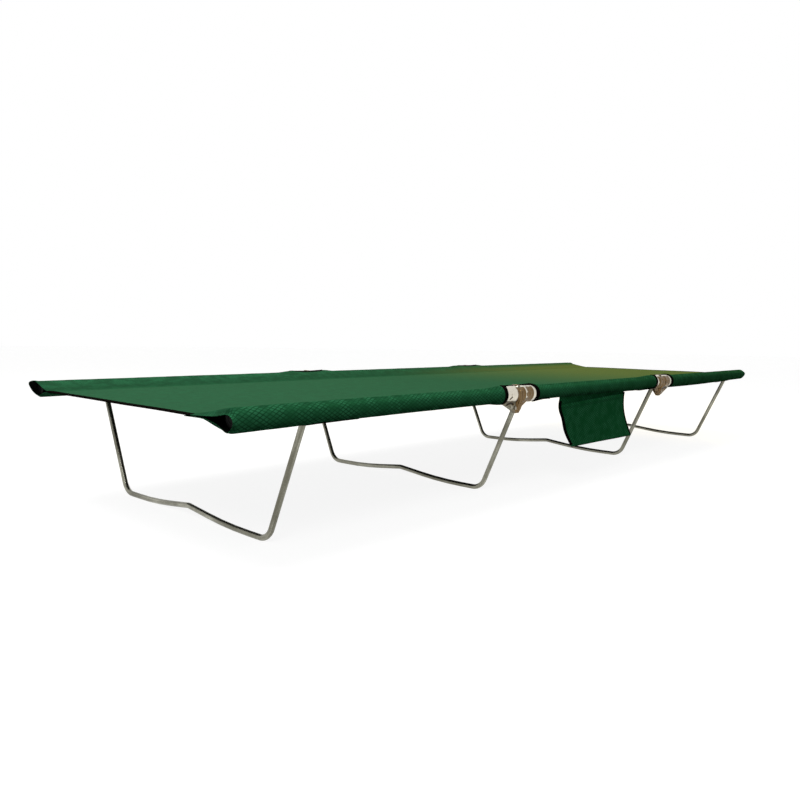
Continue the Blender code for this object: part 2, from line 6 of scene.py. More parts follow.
import bmesh
import bpy
from mathutils import Matrix, Vector, noise
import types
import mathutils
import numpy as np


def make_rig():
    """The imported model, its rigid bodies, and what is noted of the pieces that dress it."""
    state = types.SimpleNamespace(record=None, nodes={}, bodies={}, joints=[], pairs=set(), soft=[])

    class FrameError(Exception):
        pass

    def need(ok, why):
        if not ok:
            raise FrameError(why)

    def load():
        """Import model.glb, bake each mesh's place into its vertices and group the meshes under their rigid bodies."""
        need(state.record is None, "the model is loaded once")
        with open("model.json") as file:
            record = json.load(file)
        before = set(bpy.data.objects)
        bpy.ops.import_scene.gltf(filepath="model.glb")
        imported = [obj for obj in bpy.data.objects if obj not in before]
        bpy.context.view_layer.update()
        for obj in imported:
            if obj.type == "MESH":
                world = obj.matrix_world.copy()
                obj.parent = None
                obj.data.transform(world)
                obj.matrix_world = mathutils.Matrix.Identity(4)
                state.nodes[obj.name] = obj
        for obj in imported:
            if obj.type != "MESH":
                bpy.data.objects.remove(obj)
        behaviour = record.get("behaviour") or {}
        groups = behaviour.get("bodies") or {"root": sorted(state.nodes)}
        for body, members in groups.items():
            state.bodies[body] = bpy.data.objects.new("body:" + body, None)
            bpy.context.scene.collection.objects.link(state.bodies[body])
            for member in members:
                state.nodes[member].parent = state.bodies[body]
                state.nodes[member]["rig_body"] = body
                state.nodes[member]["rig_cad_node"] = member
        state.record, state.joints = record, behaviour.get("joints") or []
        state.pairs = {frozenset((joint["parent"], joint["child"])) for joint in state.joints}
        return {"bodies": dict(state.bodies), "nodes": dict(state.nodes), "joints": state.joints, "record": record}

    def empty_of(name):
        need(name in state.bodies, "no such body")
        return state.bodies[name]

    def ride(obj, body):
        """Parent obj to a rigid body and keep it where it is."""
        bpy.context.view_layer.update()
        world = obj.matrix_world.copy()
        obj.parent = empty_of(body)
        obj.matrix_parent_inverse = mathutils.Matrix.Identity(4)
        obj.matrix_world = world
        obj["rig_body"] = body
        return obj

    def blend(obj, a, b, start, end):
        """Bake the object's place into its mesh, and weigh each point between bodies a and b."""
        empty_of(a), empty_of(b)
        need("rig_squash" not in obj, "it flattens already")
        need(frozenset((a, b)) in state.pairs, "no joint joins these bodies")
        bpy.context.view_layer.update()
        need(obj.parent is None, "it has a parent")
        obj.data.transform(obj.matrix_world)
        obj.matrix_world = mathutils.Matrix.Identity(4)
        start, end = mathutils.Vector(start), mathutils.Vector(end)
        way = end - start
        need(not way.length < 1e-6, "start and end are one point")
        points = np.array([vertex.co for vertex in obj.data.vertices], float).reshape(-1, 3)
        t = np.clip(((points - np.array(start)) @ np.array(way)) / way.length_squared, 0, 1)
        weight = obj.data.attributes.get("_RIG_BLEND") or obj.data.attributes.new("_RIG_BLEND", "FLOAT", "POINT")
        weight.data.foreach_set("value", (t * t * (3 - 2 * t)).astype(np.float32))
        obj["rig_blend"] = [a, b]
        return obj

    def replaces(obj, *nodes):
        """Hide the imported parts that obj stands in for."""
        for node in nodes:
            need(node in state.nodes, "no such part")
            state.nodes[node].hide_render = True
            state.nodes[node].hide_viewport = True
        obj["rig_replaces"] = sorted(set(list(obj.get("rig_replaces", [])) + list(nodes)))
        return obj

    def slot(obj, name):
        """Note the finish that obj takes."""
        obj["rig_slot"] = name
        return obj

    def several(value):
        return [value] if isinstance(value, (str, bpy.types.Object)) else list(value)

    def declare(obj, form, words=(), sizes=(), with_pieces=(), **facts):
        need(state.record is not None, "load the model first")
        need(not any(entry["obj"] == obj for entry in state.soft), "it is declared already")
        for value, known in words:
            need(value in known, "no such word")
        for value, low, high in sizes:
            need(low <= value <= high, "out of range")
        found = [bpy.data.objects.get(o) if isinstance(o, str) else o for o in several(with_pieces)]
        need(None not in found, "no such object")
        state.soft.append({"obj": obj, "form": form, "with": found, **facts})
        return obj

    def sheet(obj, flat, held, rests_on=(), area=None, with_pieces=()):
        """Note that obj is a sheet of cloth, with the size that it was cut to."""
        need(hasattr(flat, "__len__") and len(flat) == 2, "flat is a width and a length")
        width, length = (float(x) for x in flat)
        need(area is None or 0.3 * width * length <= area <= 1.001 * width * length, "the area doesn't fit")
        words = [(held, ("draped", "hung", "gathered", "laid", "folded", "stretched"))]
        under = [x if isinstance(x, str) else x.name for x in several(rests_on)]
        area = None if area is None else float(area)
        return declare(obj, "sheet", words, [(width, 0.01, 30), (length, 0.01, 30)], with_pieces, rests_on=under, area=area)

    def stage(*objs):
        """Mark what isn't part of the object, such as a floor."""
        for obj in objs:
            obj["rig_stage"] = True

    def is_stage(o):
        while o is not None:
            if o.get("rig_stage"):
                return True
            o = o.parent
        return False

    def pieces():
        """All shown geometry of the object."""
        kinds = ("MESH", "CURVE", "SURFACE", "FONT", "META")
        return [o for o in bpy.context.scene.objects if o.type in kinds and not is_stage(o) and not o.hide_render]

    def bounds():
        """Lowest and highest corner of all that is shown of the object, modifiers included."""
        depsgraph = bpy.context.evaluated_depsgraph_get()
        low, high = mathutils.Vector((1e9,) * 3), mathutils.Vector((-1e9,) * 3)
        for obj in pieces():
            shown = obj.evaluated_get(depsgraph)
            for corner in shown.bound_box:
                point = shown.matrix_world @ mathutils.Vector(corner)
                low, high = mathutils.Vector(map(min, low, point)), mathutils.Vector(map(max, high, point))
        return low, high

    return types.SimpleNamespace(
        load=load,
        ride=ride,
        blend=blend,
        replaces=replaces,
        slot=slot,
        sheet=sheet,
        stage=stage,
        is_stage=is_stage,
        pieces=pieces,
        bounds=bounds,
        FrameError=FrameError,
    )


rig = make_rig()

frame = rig.load()
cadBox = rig.bounds()
scene = bpy.context.scene
scene.view_settings.view_transform = "Standard"
print("frame loaded:", len(frame["nodes"]), "nodes on", len(frame["bodies"]), "bodies")

# The places that every piece is fitted to
bed = {
    "hingeX": 0.3175,       # joint planes between the three sections
    "endX": 0.9525,         # the two ends of the cloth
    "railY": 0.30375,       # the rails' centre lines
    "railZ": 0.1985,
    "pinRise": 0.016,       # hinge pins above the rails' centre lines
    "endLegX": 0.819,
    "middleLegX": 0.302,
}
ends = ((-1, "head"), (1, "foot"))
sides = ((-1, "near"), (1, "far"))


def smoothStep(low, high, value):
    t = min(max((value - low) / (high - low), 0.0), 1.0)
    return t * t * (3 - 2 * t)


def wobble(x, y, z):
    return noise.noise(Vector((x, y, z)))


def finishPiece(name, shape, materials):
    mesh = bpy.data.meshes.new(name)
    shape.to_mesh(mesh)
    shape.free()
    for material in materials:
        mesh.materials.append(material)
    mesh.shade_smooth()
    piece = bpy.data.objects.new(name, mesh)
    scene.collection.objects.link(piece)
    return piece


def appliedMesh(piece):
    # The piece's mesh with its modifiers worked in; the piece itself goes.
    bpy.context.view_layer.update()
    shown = piece.evaluated_get(bpy.context.evaluated_depsgraph_get())
    mesh = bpy.data.meshes.new_from_object(shown)
    bpy.data.objects.remove(piece)
    return mesh


def gridShape(columns, rows, place, flat=None):
    # A bmesh grid whose points are moved to place(i, j), with a UV map of flat(i, j).
    shape = bmesh.new()
    bmesh.ops.create_grid(shape, x_segments=columns, y_segments=rows, size=1.0)
    found = {}
    for vert in shape.verts:
        key = (round((vert.co.x + 1) / 2 * columns), round((vert.co.y + 1) / 2 * rows))
        found[key] = vert
    if flat:
        layer = shape.loops.layers.uv.new("flat")
        keys = {vert: key for key, vert in found.items()}
        for face in shape.faces:
            for loop in face.loops:
                loop[layer].uv = flat(*keys[loop.vert])
    for (i, j), vert in found.items():
        vert.co = place(i, j)
    return shape, found


def spinSolid(shape, profile, centre, axis, across, steps):
    # A turned solid. The profile is (radius, along) points, from the axis out and back to it.
    axis, across, centre = Vector(axis), Vector(across), Vector(centre)
    part = bmesh.new()
    line = [part.verts.new(centre + across * r + axis * a) for r, a in profile]
    edges = [part.edges.new(pair) for pair in zip(line, line[1:])]
    bmesh.ops.spin(
        part, geom=line + edges, cent=centre, axis=axis, angle=2 * math.pi, steps=steps, use_merge=True
    )
    bmesh.ops.remove_doubles(part, verts=part.verts[:], dist=1e-6)
    addShape(shape, part)


def plateSolid(shape, outline, low, high, toPoint):
    # A flat outline of (a, b) points, pushed from low to high.
    part = bmesh.new()
    face = part.faces.new([part.verts.new(toPoint(a, b, low)) for a, b in outline])
    pushed = bmesh.ops.extrude_face_region(part, geom=[face])
    moved = [g for g in pushed["geom"] if isinstance(g, bmesh.types.BMVert)]
    bmesh.ops.translate(part, verts=moved, vec=Vector(toPoint(0, 0, high)) - Vector(toPoint(0, 0, low)))
    addShape(shape, part)


def addShape(shape, part):
    bmesh.ops.recalc_face_normals(part, faces=part.faces[:])
    carrier = bpy.data.meshes.new("carrier")
    part.to_mesh(carrier)
    part.free()
    shape.from_mesh(carrier)
    bpy.data.meshes.remove(carrier)


def inOrder(shape):
    # The same shape with its verts and faces sorted, because spin leaves another order each run.
    found = sorted(shape.verts, key=lambda v: tuple(round(c, 7) for c in v.co))
    number = {vert: k for k, vert in enumerate(found)}
    rings = []
    for face in shape.faces:
        ring = [number[vert] for vert in face.verts]
        first = ring.index(min(ring))
        rings.append(ring[first:] + ring[:first])
    made = bmesh.new()
    verts = [made.verts.new(vert.co) for vert in found]
    for ring in sorted(rings):
        made.faces.new([verts[k] for k in ring])
    shape.free()
    return made


# Node helpers. An input is another node's socket, which is linked, or a plain value.
def feed(tree, node, inputs):
    for key, value in inputs.items():
        if isinstance(value, bpy.types.NodeSocket):
            tree.links.new(value, node.inputs[key])
        else:
            node.inputs[key].default_value = value


def addNode(tree, kind, inputs=None, **settings):
    node = tree.nodes.new(kind)
    for key, value in settings.items():
        setattr(node, key, value)
    feed(tree, node, inputs or {})
    return node


def calc(tree, operation, a, b=0.0, c=0.0):
    return addNode(tree, "ShaderNodeMath", {0: a, 1: b, 2: c}, operation=operation).outputs[0]


def times(tree, a, b):
    return calc(tree, "MULTIPLY", a, b)


def mixColour(tree, factor, a, b):
    # The Mix node's colour sockets are inputs 6 and 7 and output 2.
    return addNode(tree, "ShaderNodeMix", {0: factor, 6: a, 7: b}, data_type="RGBA").outputs[2]


def ramp(tree, value, low, high, toLow=0.0, toHigh=1.0):
    inputs = {"Value": value, "From Min": low, "From Max": high, "To Min": toLow, "To Max": toHigh}
    return addNode(tree, "ShaderNodeMapRange", inputs, interpolation_type="SMOOTHSTEP").outputs["Result"]


def flatPlace(tree):
    # The flat cloth's own coordinates, in metres.
    return addNode(tree, "ShaderNodeUVMap", uv_map="flat").outputs["UV"]


def objectPlace(tree):
    return addNode(tree, "ShaderNodeTexCoord").outputs["Object"]


def seenRays(tree):
    # 1 for what the camera, metal and glass see, and 0 for the light that falls on the object.
    path = addNode(tree, "ShaderNodeLightPath")
    seen = calc(tree, "MAXIMUM", path.outputs["Is Camera Ray"], path.outputs["Is Glossy Ray"])
    return calc(tree, "MAXIMUM", seen, path.outputs["Is Transmission Ray"])


def newGroup(name, inputs, outputs):
    # A node group with (name, kind, value) inputs and (name, kind) outputs.
    group = bpy.data.node_groups.new(name, "ShaderNodeTree")
    for label, kind, value in inputs:
        socket = group.interface.new_socket(name=label, in_out="INPUT", socket_type="NodeSocket" + kind)
        if value is not None:
            socket.default_value = value
    for label, kind in outputs:
        group.interface.new_socket(name=label, in_out="OUTPUT", socket_type="NodeSocket" + kind)
    return group, group.nodes.new("NodeGroupInput").outputs, group.nodes.new("NodeGroupOutput").inputs


def placeGroup(tree, group, inputs):
    return addNode(tree, "ShaderNodeGroup", inputs, node_tree=group).outputs


def newMaterial(name, sockets):
    material = bpy.data.materials.new(name)
    material.use_nodes = True
    shader = material.node_tree.nodes["Principled BSDF"]
    for key, value in sockets.items():
        shader.inputs[key].default_value = value
    return material, material.node_tree, shader


def linkFinish(tree, shader, base, specks, rough, height, strength, distance):
    # Base colour, a roughness range that follows the specks, and a bump.
    tree.links.new(base, shader.inputs["Base Color"])
    tree.links.new(ramp(tree, specks, 0.0, 1.0, *rough), shader.inputs["Roughness"])
    bump = addNode(tree, "ShaderNodeBump", {"Strength": strength, "Distance": distance, "Height": height})
    tree.links.new(bump.outputs["Normal"], shader.inputs["Normal"])


def colour(red, green, blue):
    # A colour as it is read off a screen, 0 to 255, in the linear values that shaders take.
    def linear(value):
        value /= 255
        return value / 12.92 if value <= 0.04045 else ((value + 0.055) / 1.055) ** 2.4
    return (linear(red), linear(green), linear(blue), 1.0)


# Camera: low in front of the head end's near corner, looking along the bed
cameraPlace = {
    "position": (-1.4294, -1.0447, 0.3039),
    "turn": 0.7495,     # radians from +X toward +Y
    "tip": 0.0906,      # radians down
    "roll": 0.0147,
    "lens": 31.882,
}


def makeCamera(place):
    turn, tip, roll = place["turn"], place["tip"], place["roll"]
    ahead = Vector((math.cos(tip) * math.cos(turn), math.cos(tip) * math.sin(turn), -math.sin(tip)))
    right = Vector((math.sin(turn), -math.cos(turn), 0))
    up = right.cross(ahead)
    right, up = right * math.cos(roll) + up * math.sin(roll), up * math.cos(roll) - right * math.sin(roll)
    data = bpy.data.cameras.new("viewCamera")
    data.lens = place["lens"]
    data.sensor_width = 36
    data.clip_start = 0.02
    camera = bpy.data.objects.new("viewCamera", data)
    scene.collection.objects.link(camera)
    camera.matrix_world = Matrix((
        (right.x, up.x, -ahead.x, place["position"][0]),
        (right.y, up.y, -ahead.y, place["position"][1]),
        (right.z, up.z, -ahead.z, place["position"][2]),
        (0, 0, 0, 1),
    ))
    scene.camera = camera


makeCamera(cameraPlace)

# Studio: a white room, a pale floor and soft lamps
studio = {
    "worldStrength": 0.20,
    "floorColour": (0.27, 0.27, 0.267, 1),
    "floorGlow": 0.89,      # only for what the camera, metal and glass see of the floor
    "lamps": (
        # name, position, aimed at, size, power, colour
        ("topSoftbox", (-0.9, 0.45, 2.4), (-0.3, 0.0, 0.1), 2.0, 50, (1.0, 1.0, 1.0)),
        ("frontSoftbox", (-2.4, -1.6, 2.1), (-0.5, 0.0, 0.15), 1.2, 21, (0.97, 0.99, 1.0)),
        ("warmLamp", (2.2, 0.2, 1.3), (0.75, 0.0, 0.2), 0.9, 22, (1.0, 0.76, 0.2)),
    ),
}


def makeStudio(values):
    world = bpy.data.worlds.new("whiteRoom")
    scene.world = world
    world.use_nodes = True
    tree = world.node_tree
    tree.nodes.clear()
    low = values["worldStrength"]
    strength = calc(tree, "MULTIPLY_ADD", seenRays(tree), 1 - low, low)
    back = addNode(tree, "ShaderNodeBackground", {"Color": (1, 1, 1, 1), "Strength": strength})
    addNode(tree, "ShaderNodeOutputWorld", {"Surface": back.outputs[0]})

    for name, position, aim, size, power, tint in values["lamps"]:
        data = bpy.data.lights.new(name, "AREA")
        data.shape = "DISK"
        data.size = size
        data.energy = power
        data.color = tint
        lamp = bpy.data.objects.new(name, data)
        scene.collection.objects.link(lamp)
        lamp.location = position
        lamp.visible_glossy = name != "warmLamp"        # it only tints the cloth
        lamp.rotation_euler = (Vector(aim) - Vector(position)).to_track_quat("-Z", "Y").to_euler()

    paper, tree, shader = newMaterial("floorPaper", {"Roughness": 0.9, "Specular IOR Level": 0.1})
    cloud = addNode(tree, "ShaderNodeTexNoise", {"Vector": objectPlace(tree), "Scale": 3.0, "Detail": 3.0})
    r, g, b, _ = values["floorColour"]
    tone = mixColour(tree, cloud.outputs["Fac"], (r * 0.995, g * 0.995, b * 0.995, 1), (r, g, b, 1))
    tree.links.new(tone, shader.inputs["Base Color"])
    strength = times(tree, seenRays(tree), values["floorGlow"])
    glow = addNode(tree, "ShaderNodeEmission", {"Strength": strength})
    both = addNode(tree, "ShaderNodeAddShader", {0: shader.outputs[0], 1: glow.outputs[0]})
    tree.links.new(both.outputs[0], tree.nodes["Material Output"].inputs["Surface"])
    shape = bmesh.new()
    bmesh.ops.create_circle(shape, cap_ends=True, segments=96, radius=14)
    floor = finishPiece("paleFloor", shape, [paper])
    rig.stage(floor)


makeStudio(studio)
print("camera and studio are set")


# Finishes. The groups hold what several of them share.
def makeWeaveGroup():
    # A close plain weave with a raised diamond grid, from flat cloth coordinates in metres.
    tree, given, out = newGroup(
        "diamondWeave",
        [("Flat", "Vector", None), ("Cell Long", "Float", 0.0104), ("Cell Wide", "Float", 0.0056),
         ("Thread", "Float", 0.0011)],
        [("Grid", "Float"), ("Centre", "Float"), ("Threads", "Float"), ("Height", "Float")],
    )
    apart = addNode(tree, "ShaderNodeSeparateXYZ", {0: given["Flat"]}).outputs
    along = calc(tree, "DIVIDE", apart[0], given["Cell Long"])
    across = calc(tree, "DIVIDE", apart[1], given["Cell Wide"])
    lines = []
    for total in (calc(tree, "ADD", along, across), calc(tree, "SUBTRACT", along, across)):
        centred = calc(tree, "SUBTRACT", calc(tree, "FRACT", total), 0.5)
        lines.append(ramp(tree, calc(tree, "ABSOLUTE", centred), 0.32, 0.47))
    grid = calc(tree, "MAXIMUM", lines[0], lines[1])
    shine = times(tree, *[calc(tree, "SUBTRACT", 1.0, line) for line in lines])
    waves = []
    for part in (apart[0], apart[1]):
        turns = times(tree, calc(tree, "DIVIDE", part, given["Thread"]), 2 * math.pi)
        waves.append(calc(tree, "SINE", turns))
    threads = calc(tree, "MULTIPLY_ADD", times(tree, *waves), 0.5, 0.5)
    height = calc(tree, "MULTIPLY_ADD", threads, 0.35, times(tree, grid, -0.8))
    for label, value in (("Grid", grid), ("Centre", shine), ("Threads", threads), ("Height", height)):
        tree.links.new(value, out[label])
    return tree


def makeStitchGroup():
    # One row of sewn stitches along the flat X direction, at a given place across it.
    tree, given, out = newGroup(
        "stitchRow",
        [("Flat", "Vector", None), ("Place", "Float", 0.0), ("Pitch", "Float", 0.0045),
         ("Wide", "Float", 0.0011)],
        [("Stitch", "Float"), ("Pucker", "Float")],
    )
    apart = addNode(tree, "ShaderNodeSeparateXYZ", {0: given["Flat"]}).outputs
    beside = calc(tree, "ABSOLUTE", calc(tree, "SUBTRACT", apart[1], given["Place"]))
    share = calc(tree, "DIVIDE", beside, given["Wide"])
    step = calc(tree, "FRACT", calc(tree, "DIVIDE", apart[0], given["Pitch"]))
    gap = calc(tree, "ABSOLUTE", calc(tree, "SUBTRACT", step, 0.5))
    body = times(tree, ramp(tree, share, 0.35, 0.6, 1.0, 0.0), ramp(tree, gap, 0.34, 0.44, 1.0, 0.0))
    tree.links.new(body, out["Stitch"])
    tree.links.new(ramp(tree, share, 0.0, 4.0, 1.0, 0.0), out["Pucker"])
    return tree


def makeDustGroup():
    # Soft uneven tone, for handling marks and dust, at two sizes.
    tree, given, out = newGroup(
        "unevenTone",
        [("Place", "Vector", None), ("Size", "Float", 6.0), ("Grain", "Float", 90.0)],
        [("Clouds", "Float"), ("Specks", "Float")],
    )
    for label, size, detail, low, high in (
        ("Clouds", "Size", 4.0, 0.3, 0.7),
        ("Specks", "Grain", 2.0, 0.35, 0.65),
    ):
        inputs = {"Vector": given["Place"], "Scale": given[size], "Detail": detail}
        cloud = addNode(tree, "ShaderNodeTexNoise", inputs).outputs["Fac"]
        tree.links.new(ramp(tree, cloud, low, high), out[label])
    return tree


weaveGroup = makeWeaveGroup()
stitchGroup = makeStitchGroup()
dustGroup = makeDustGroup()

clothFinish = {
    "face": (30, 91, 54),
    "line": (9, 54, 29),
    "faded": (39, 104, 66),
    "thread": (30, 92, 56),
    # The glint below is a painted highlight on the diamonds' centres.
    "glint": (66, 146, 102),
    "panel": (52, 85, 64),          # its flat part, greyed by a painted sheen
    "shoulder": (30, 57, 41),       # painted shade on the strips between the seams and the rails' tops
    "crest": (15, 50, 29),          # painted shade on the rails' tops
    "under": (3, 34, 17),           # painted shade on the sleeves' undersides
    "aged": (14, 42, 8),            # painted shade on the sleeves toward the foot end
    "bleached": (122, 124, 58),     # a painted warm reflection on the panel's foot end
    "back": (9, 12, 9),
    "backFaded": (13, 18, 13),
    "backLine": (5, 8, 6),
}

# Tones that lie on only part of the bed cloth, all of them painted light: a painted sheen on the panel,
# painted shade on the sleeves and a painted warm reflection on the panel's foot end. Each has the place out
# from the middle of the flat cloth where it comes in, where it goes out, the stretch along the bed where it
# grows, and its share.
clothBands = (
    ("panel", None, (0.222, 0.236), None, 0.75),
    ("shoulder", (0.222, 0.236), (0.302, 0.312), None, 0.8),
    ("crest", (0.298, 0.304), (0.309, 0.318), None, 0.8),
    ("under", (0.325, 0.341), None, None, 0.92),
    ("aged", (0.27, 0.31), None, (-0.3, 0.7), 0.6),
    ("bleached", None, (0.25, 0.31), (-0.15, 0.7), 0.55),
)


def bandMask(tree, along, out, comesIn, goesOut, grows, share):
    mask = share
    if grows:
        mask = times(tree, mask, ramp(tree, along, *grows))
    if comesIn:
        mask = times(tree, mask, ramp(tree, out, *comesIn))
    if goesOut:
        mask = times(tree, mask, ramp(tree, out, *goesOut, 1.0, 0.0))
    return mask


def makeClothFace(name, values, seamRows, bands=()):
    # The green outer side. seamRows are the places of its stitch rows across the flat cloth.
    material, tree, shader = newMaterial(
        name, {"Roughness": 0.8, "Specular IOR Level": 0.0, "Sheen Weight": 0.05, "Sheen Roughness": 0.5,
               "Sheen Tint": (0.25, 0.8, 0.4, 1.0)}
    )
    tones = {label: colour(*value) for label, value in values.items()}
    flat, where = flatPlace(tree), objectPlace(tree)
    weave = placeGroup(tree, weaveGroup, {"Flat": flat})
    tone = placeGroup(tree, dustGroup, {"Place": where, "Size": 7.0, "Grain": 160.0})
    base = mixColour(tree, times(tree, tone["Clouds"], 0.35), tones["face"], tones["faded"])
    apart = addNode(tree, "ShaderNodeSeparateXYZ", {0: flat}).outputs
    along, out = apart[0], calc(tree, "ABSOLUTE", apart[1])
    for label, *band in bands:
        base = mixColour(tree, bandMask(tree, along, out, *band), base, tones[label])
    # The diamonds show more in some places than in others, and least on the flat panel.
    cloud = addNode(tree, "ShaderNodeTexNoise", {"Vector": where, "Scale": 55.0, "Detail": 2.0})
    patches = ramp(tree, cloud.outputs["Fac"], 0.35, 0.65)
    strong = calc(tree, "MULTIPLY_ADD", patches, 0.5, 0.15)
    if bands:
        strong = times(tree, strong, ramp(tree, out, 0.24, 0.29, 0.4, 1.0))
        strong = times(tree, strong, ramp(tree, along, -0.8, 0.3, 1.0, 0.6))
    # A painted highlight: the diamonds' centres lighten toward the glint colour.
    shine = times(tree, weave["Centre"], times(tree, strong, 0.75))
    base = mixColour(tree, shine, base, tones["glint"])
    base = mixColour(tree, times(tree, weave["Grid"], strong), base, tones["line"])
    base = mixColour(tree, times(tree, weave["Threads"], 0.12), base, tones["faded"])
    base = mixColour(tree, times(tree, tone["Specks"], 0.10), base, tones["line"])
    height = times(tree, weave["Height"], 0.5)
    for place in seamRows:
        row = placeGroup(tree, stitchGroup, {"Flat": flat, "Place": place})
        # The puckers beside each stitch row take painted shade, toward the line colour.
        base = mixColour(tree, times(tree, row["Pucker"], 0.35), base, tones["line"])
        base = mixColour(tree, row["Stitch"], base, tones["thread"])
        height = calc(tree, "ADD", height, times(tree, row["Stitch"], 1.5))
        height = calc(tree, "SUBTRACT", height, times(tree, row["Pucker"], 0.9))
    linkFinish(tree, shader, base, tone["Clouds"], (0.74, 0.86), height, 0.5, 0.0004)
    return material


def makeClothBack(values):
    # The dark coated inner side, seen in the open sleeve ends and from below. Its near-black is the coating's colour
    # and also painted shade for the sleeves' insides.
    material, tree, shader = newMaterial("clothBack", {"Roughness": 0.6, "Specular IOR Level": 0.04})
    weave = placeGroup(tree, weaveGroup, {"Flat": flatPlace(tree)})
    tone = placeGroup(tree, dustGroup, {"Place": objectPlace(tree), "Size": 9.0, "Grain": 120.0})
    tones = {label: colour(*values[label]) for label in ("back", "backFaded", "backLine")}
    base = mixColour(tree, times(tree, tone["Clouds"], 0.5), tones["back"], tones["backFaded"])
    base = mixColour(tree, times(tree, weave["Grid"], 0.3), base, tones["backLine"])
    linkFinish(tree, shader, base, tone["Specks"], (0.52, 0.68), weave["Height"], 0.3, 0.0003)
    return material


tapeFinish = {
    "low": (9, 8, 7),
    "rib": (19, 16, 14),
    "dust": (24, 17, 14),
    "thread": (30, 27, 25),
    "ribPitch": 0.0011,
    "stitchPlace": 0.0065,      # from its folded edge
}


def makeTape(values):
    # Black woven binding: fine ribs across it and a stitch row along its inner edge.
    material, tree, shader = newMaterial("blackTape", {"Roughness": 0.75, "Specular IOR Level": 0.0})
    flat = flatPlace(tree)
    apart = addNode(tree, "ShaderNodeSeparateXYZ", {0: flat}).outputs
    rib = calc(tree, "SINE", times(tree, apart[0], 2 * math.pi / values["ribPitch"]))
    rib = calc(tree, "MULTIPLY_ADD", rib, 0.5, 0.5)
    tone = placeGroup(tree, dustGroup, {"Place": objectPlace(tree), "Size": 40.0, "Grain": 400.0})
    row = placeGroup(
        tree, stitchGroup, {"Flat": flat, "Place": values["stitchPlace"], "Pitch": 0.0036, "Wide": 0.0010}
    )
    base = mixColour(tree, times(tree, rib, 0.5), colour(*values["low"]), colour(*values["rib"]))
    base = mixColour(tree, times(tree, tone["Clouds"], 0.3), base, colour(*values["dust"]))
    base = mixColour(tree, row["Stitch"], base, colour(*values["thread"]))
    height = calc(tree, "ADD", times(tree, rib, 0.4), times(tree, row["Stitch"], 1.2))
    linkFinish(tree, shader, base, tone["Specks"], (0.62, 0.8), height, 0.5, 0.0003)
    return material


metalFinish = {
    # light colour, dark colour, roughness range, size of its marks
    "drawnSteel": ((178, 177, 163), (88, 86, 73), (0.22, 0.36), 60.0),
    "platedPin": ((158, 152, 138), (104, 94, 78), (0.22, 0.36), 220.0),
    # A darker pin metal for the hinge pins: painted shade, like the knuckles' tops round them.
    "agedPin": ((122, 112, 96), (74, 66, 54), (0.34, 0.5), 220.0),
    "drawnAluminium": ((168, 170, 172), (128, 129, 131), (0.3, 0.45), 50.0),
}


def makeMetal(name, values, streaks=None):
    # Metal with soft tones. streaks is how its marks are drawn out, as scales along X, Y and Z.
    light, dark, rough, size = values
    material, tree, shader = newMaterial(name, {"Metallic": 1.0})
    where = objectPlace(tree)
    tone = placeGroup(tree, dustGroup, {"Place": where, "Size": size * 0.4, "Grain": size * 8})
    base = mixColour(tree, times(tree, tone["Clouds"], 0.6), colour(*light), colour(*dark))
    # On the rods the streaks run along them: drawn marks, and also a painted dark reflection along their sides.
    if streaks:
        drawn = addNode(tree, "ShaderNodeMapping", {"Vector": where, "Scale": streaks}).outputs["Vector"]
        lines = placeGroup(tree, dustGroup, {"Place": drawn, "Size": 1.0, "Grain": 3.0})
        base = mixColour(tree, times(tree, lines["Clouds"], 0.75), base, colour(*dark))
    base = mixColour(tree, times(tree, tone["Specks"], 0.35), base, colour(*dark))
    linkFinish(tree, shader, base, tone["Specks"], rough, tone["Specks"], 0.12, 0.0002)
    return material


castFinish = {
    "face": (214, 208, 194),
    # Below: an olive painted shade, a brown painted reflection, and near-black for grime and painted shadow lines.
    "worn": (113, 110, 94),
    "hollow": (121, 98, 66),
    "grime": (34, 29, 20),
}


def makeCastMetal(values):
    # Satin cast metal, bright on its face, with painted light from an attribute: an olive painted shade on its lobes,
    # a brown painted reflection on its barrels and lobes, and near-black for grime and painted shadow lines in its
    # grooves.
    material, tree, shader = newMaterial("castMetal", {"Metallic": 1.0})
    hollow = addNode(tree, "ShaderNodeAttribute", attribute_name="hollow").outputs["Fac"]
    tone = placeGroup(tree, dustGroup, {"Place": objectPlace(tree), "Size": 170.0, "Grain": 900.0})
    depth = calc(tree, "ADD", hollow, calc(tree, "MULTIPLY_ADD", tone["Clouds"], 0.34, -0.17))
    base = mixColour(tree, ramp(tree, depth, 0.15, 0.45), colour(*values["face"]), colour(*values["worn"]))
    base = mixColour(tree, ramp(tree, depth, 0.5, 0.75), base, colour(*values["hollow"]))
    base = mixColour(tree, ramp(tree, depth, 0.95, 1.2), base, colour(*values["grime"]))
    # Dirt specks, more where the painted shading is deeper.
    dirt = times(tree, tone["Specks"], calc(tree, "MULTIPLY_ADD", hollow, 0.3, 0.1))
    base = mixColour(tree, dirt, base, colour(*values["grime"]))
    linkFinish(tree, shader, base, tone["Specks"], (0.32, 0.46), tone["Specks"], 0.25, 0.0003)
    return material


def makePlastic():
    # Black moulded plastic, slightly grey where dust holds.
    material, tree, shader = newMaterial("blackPlastic", {"Specular IOR Level": 0.05})
    tone = placeGroup(tree, dustGroup, {"Place": objectPlace(tree), "Size": 120.0, "Grain": 900.0})
    base = mixColour(tree, tone["Clouds"], colour(9, 9, 9), colour(14, 13, 12))
    linkFinish(tree, shader, base, tone["Specks"], (0.4, 0.55), tone["Specks"], 0.2, 0.0002)
    return material


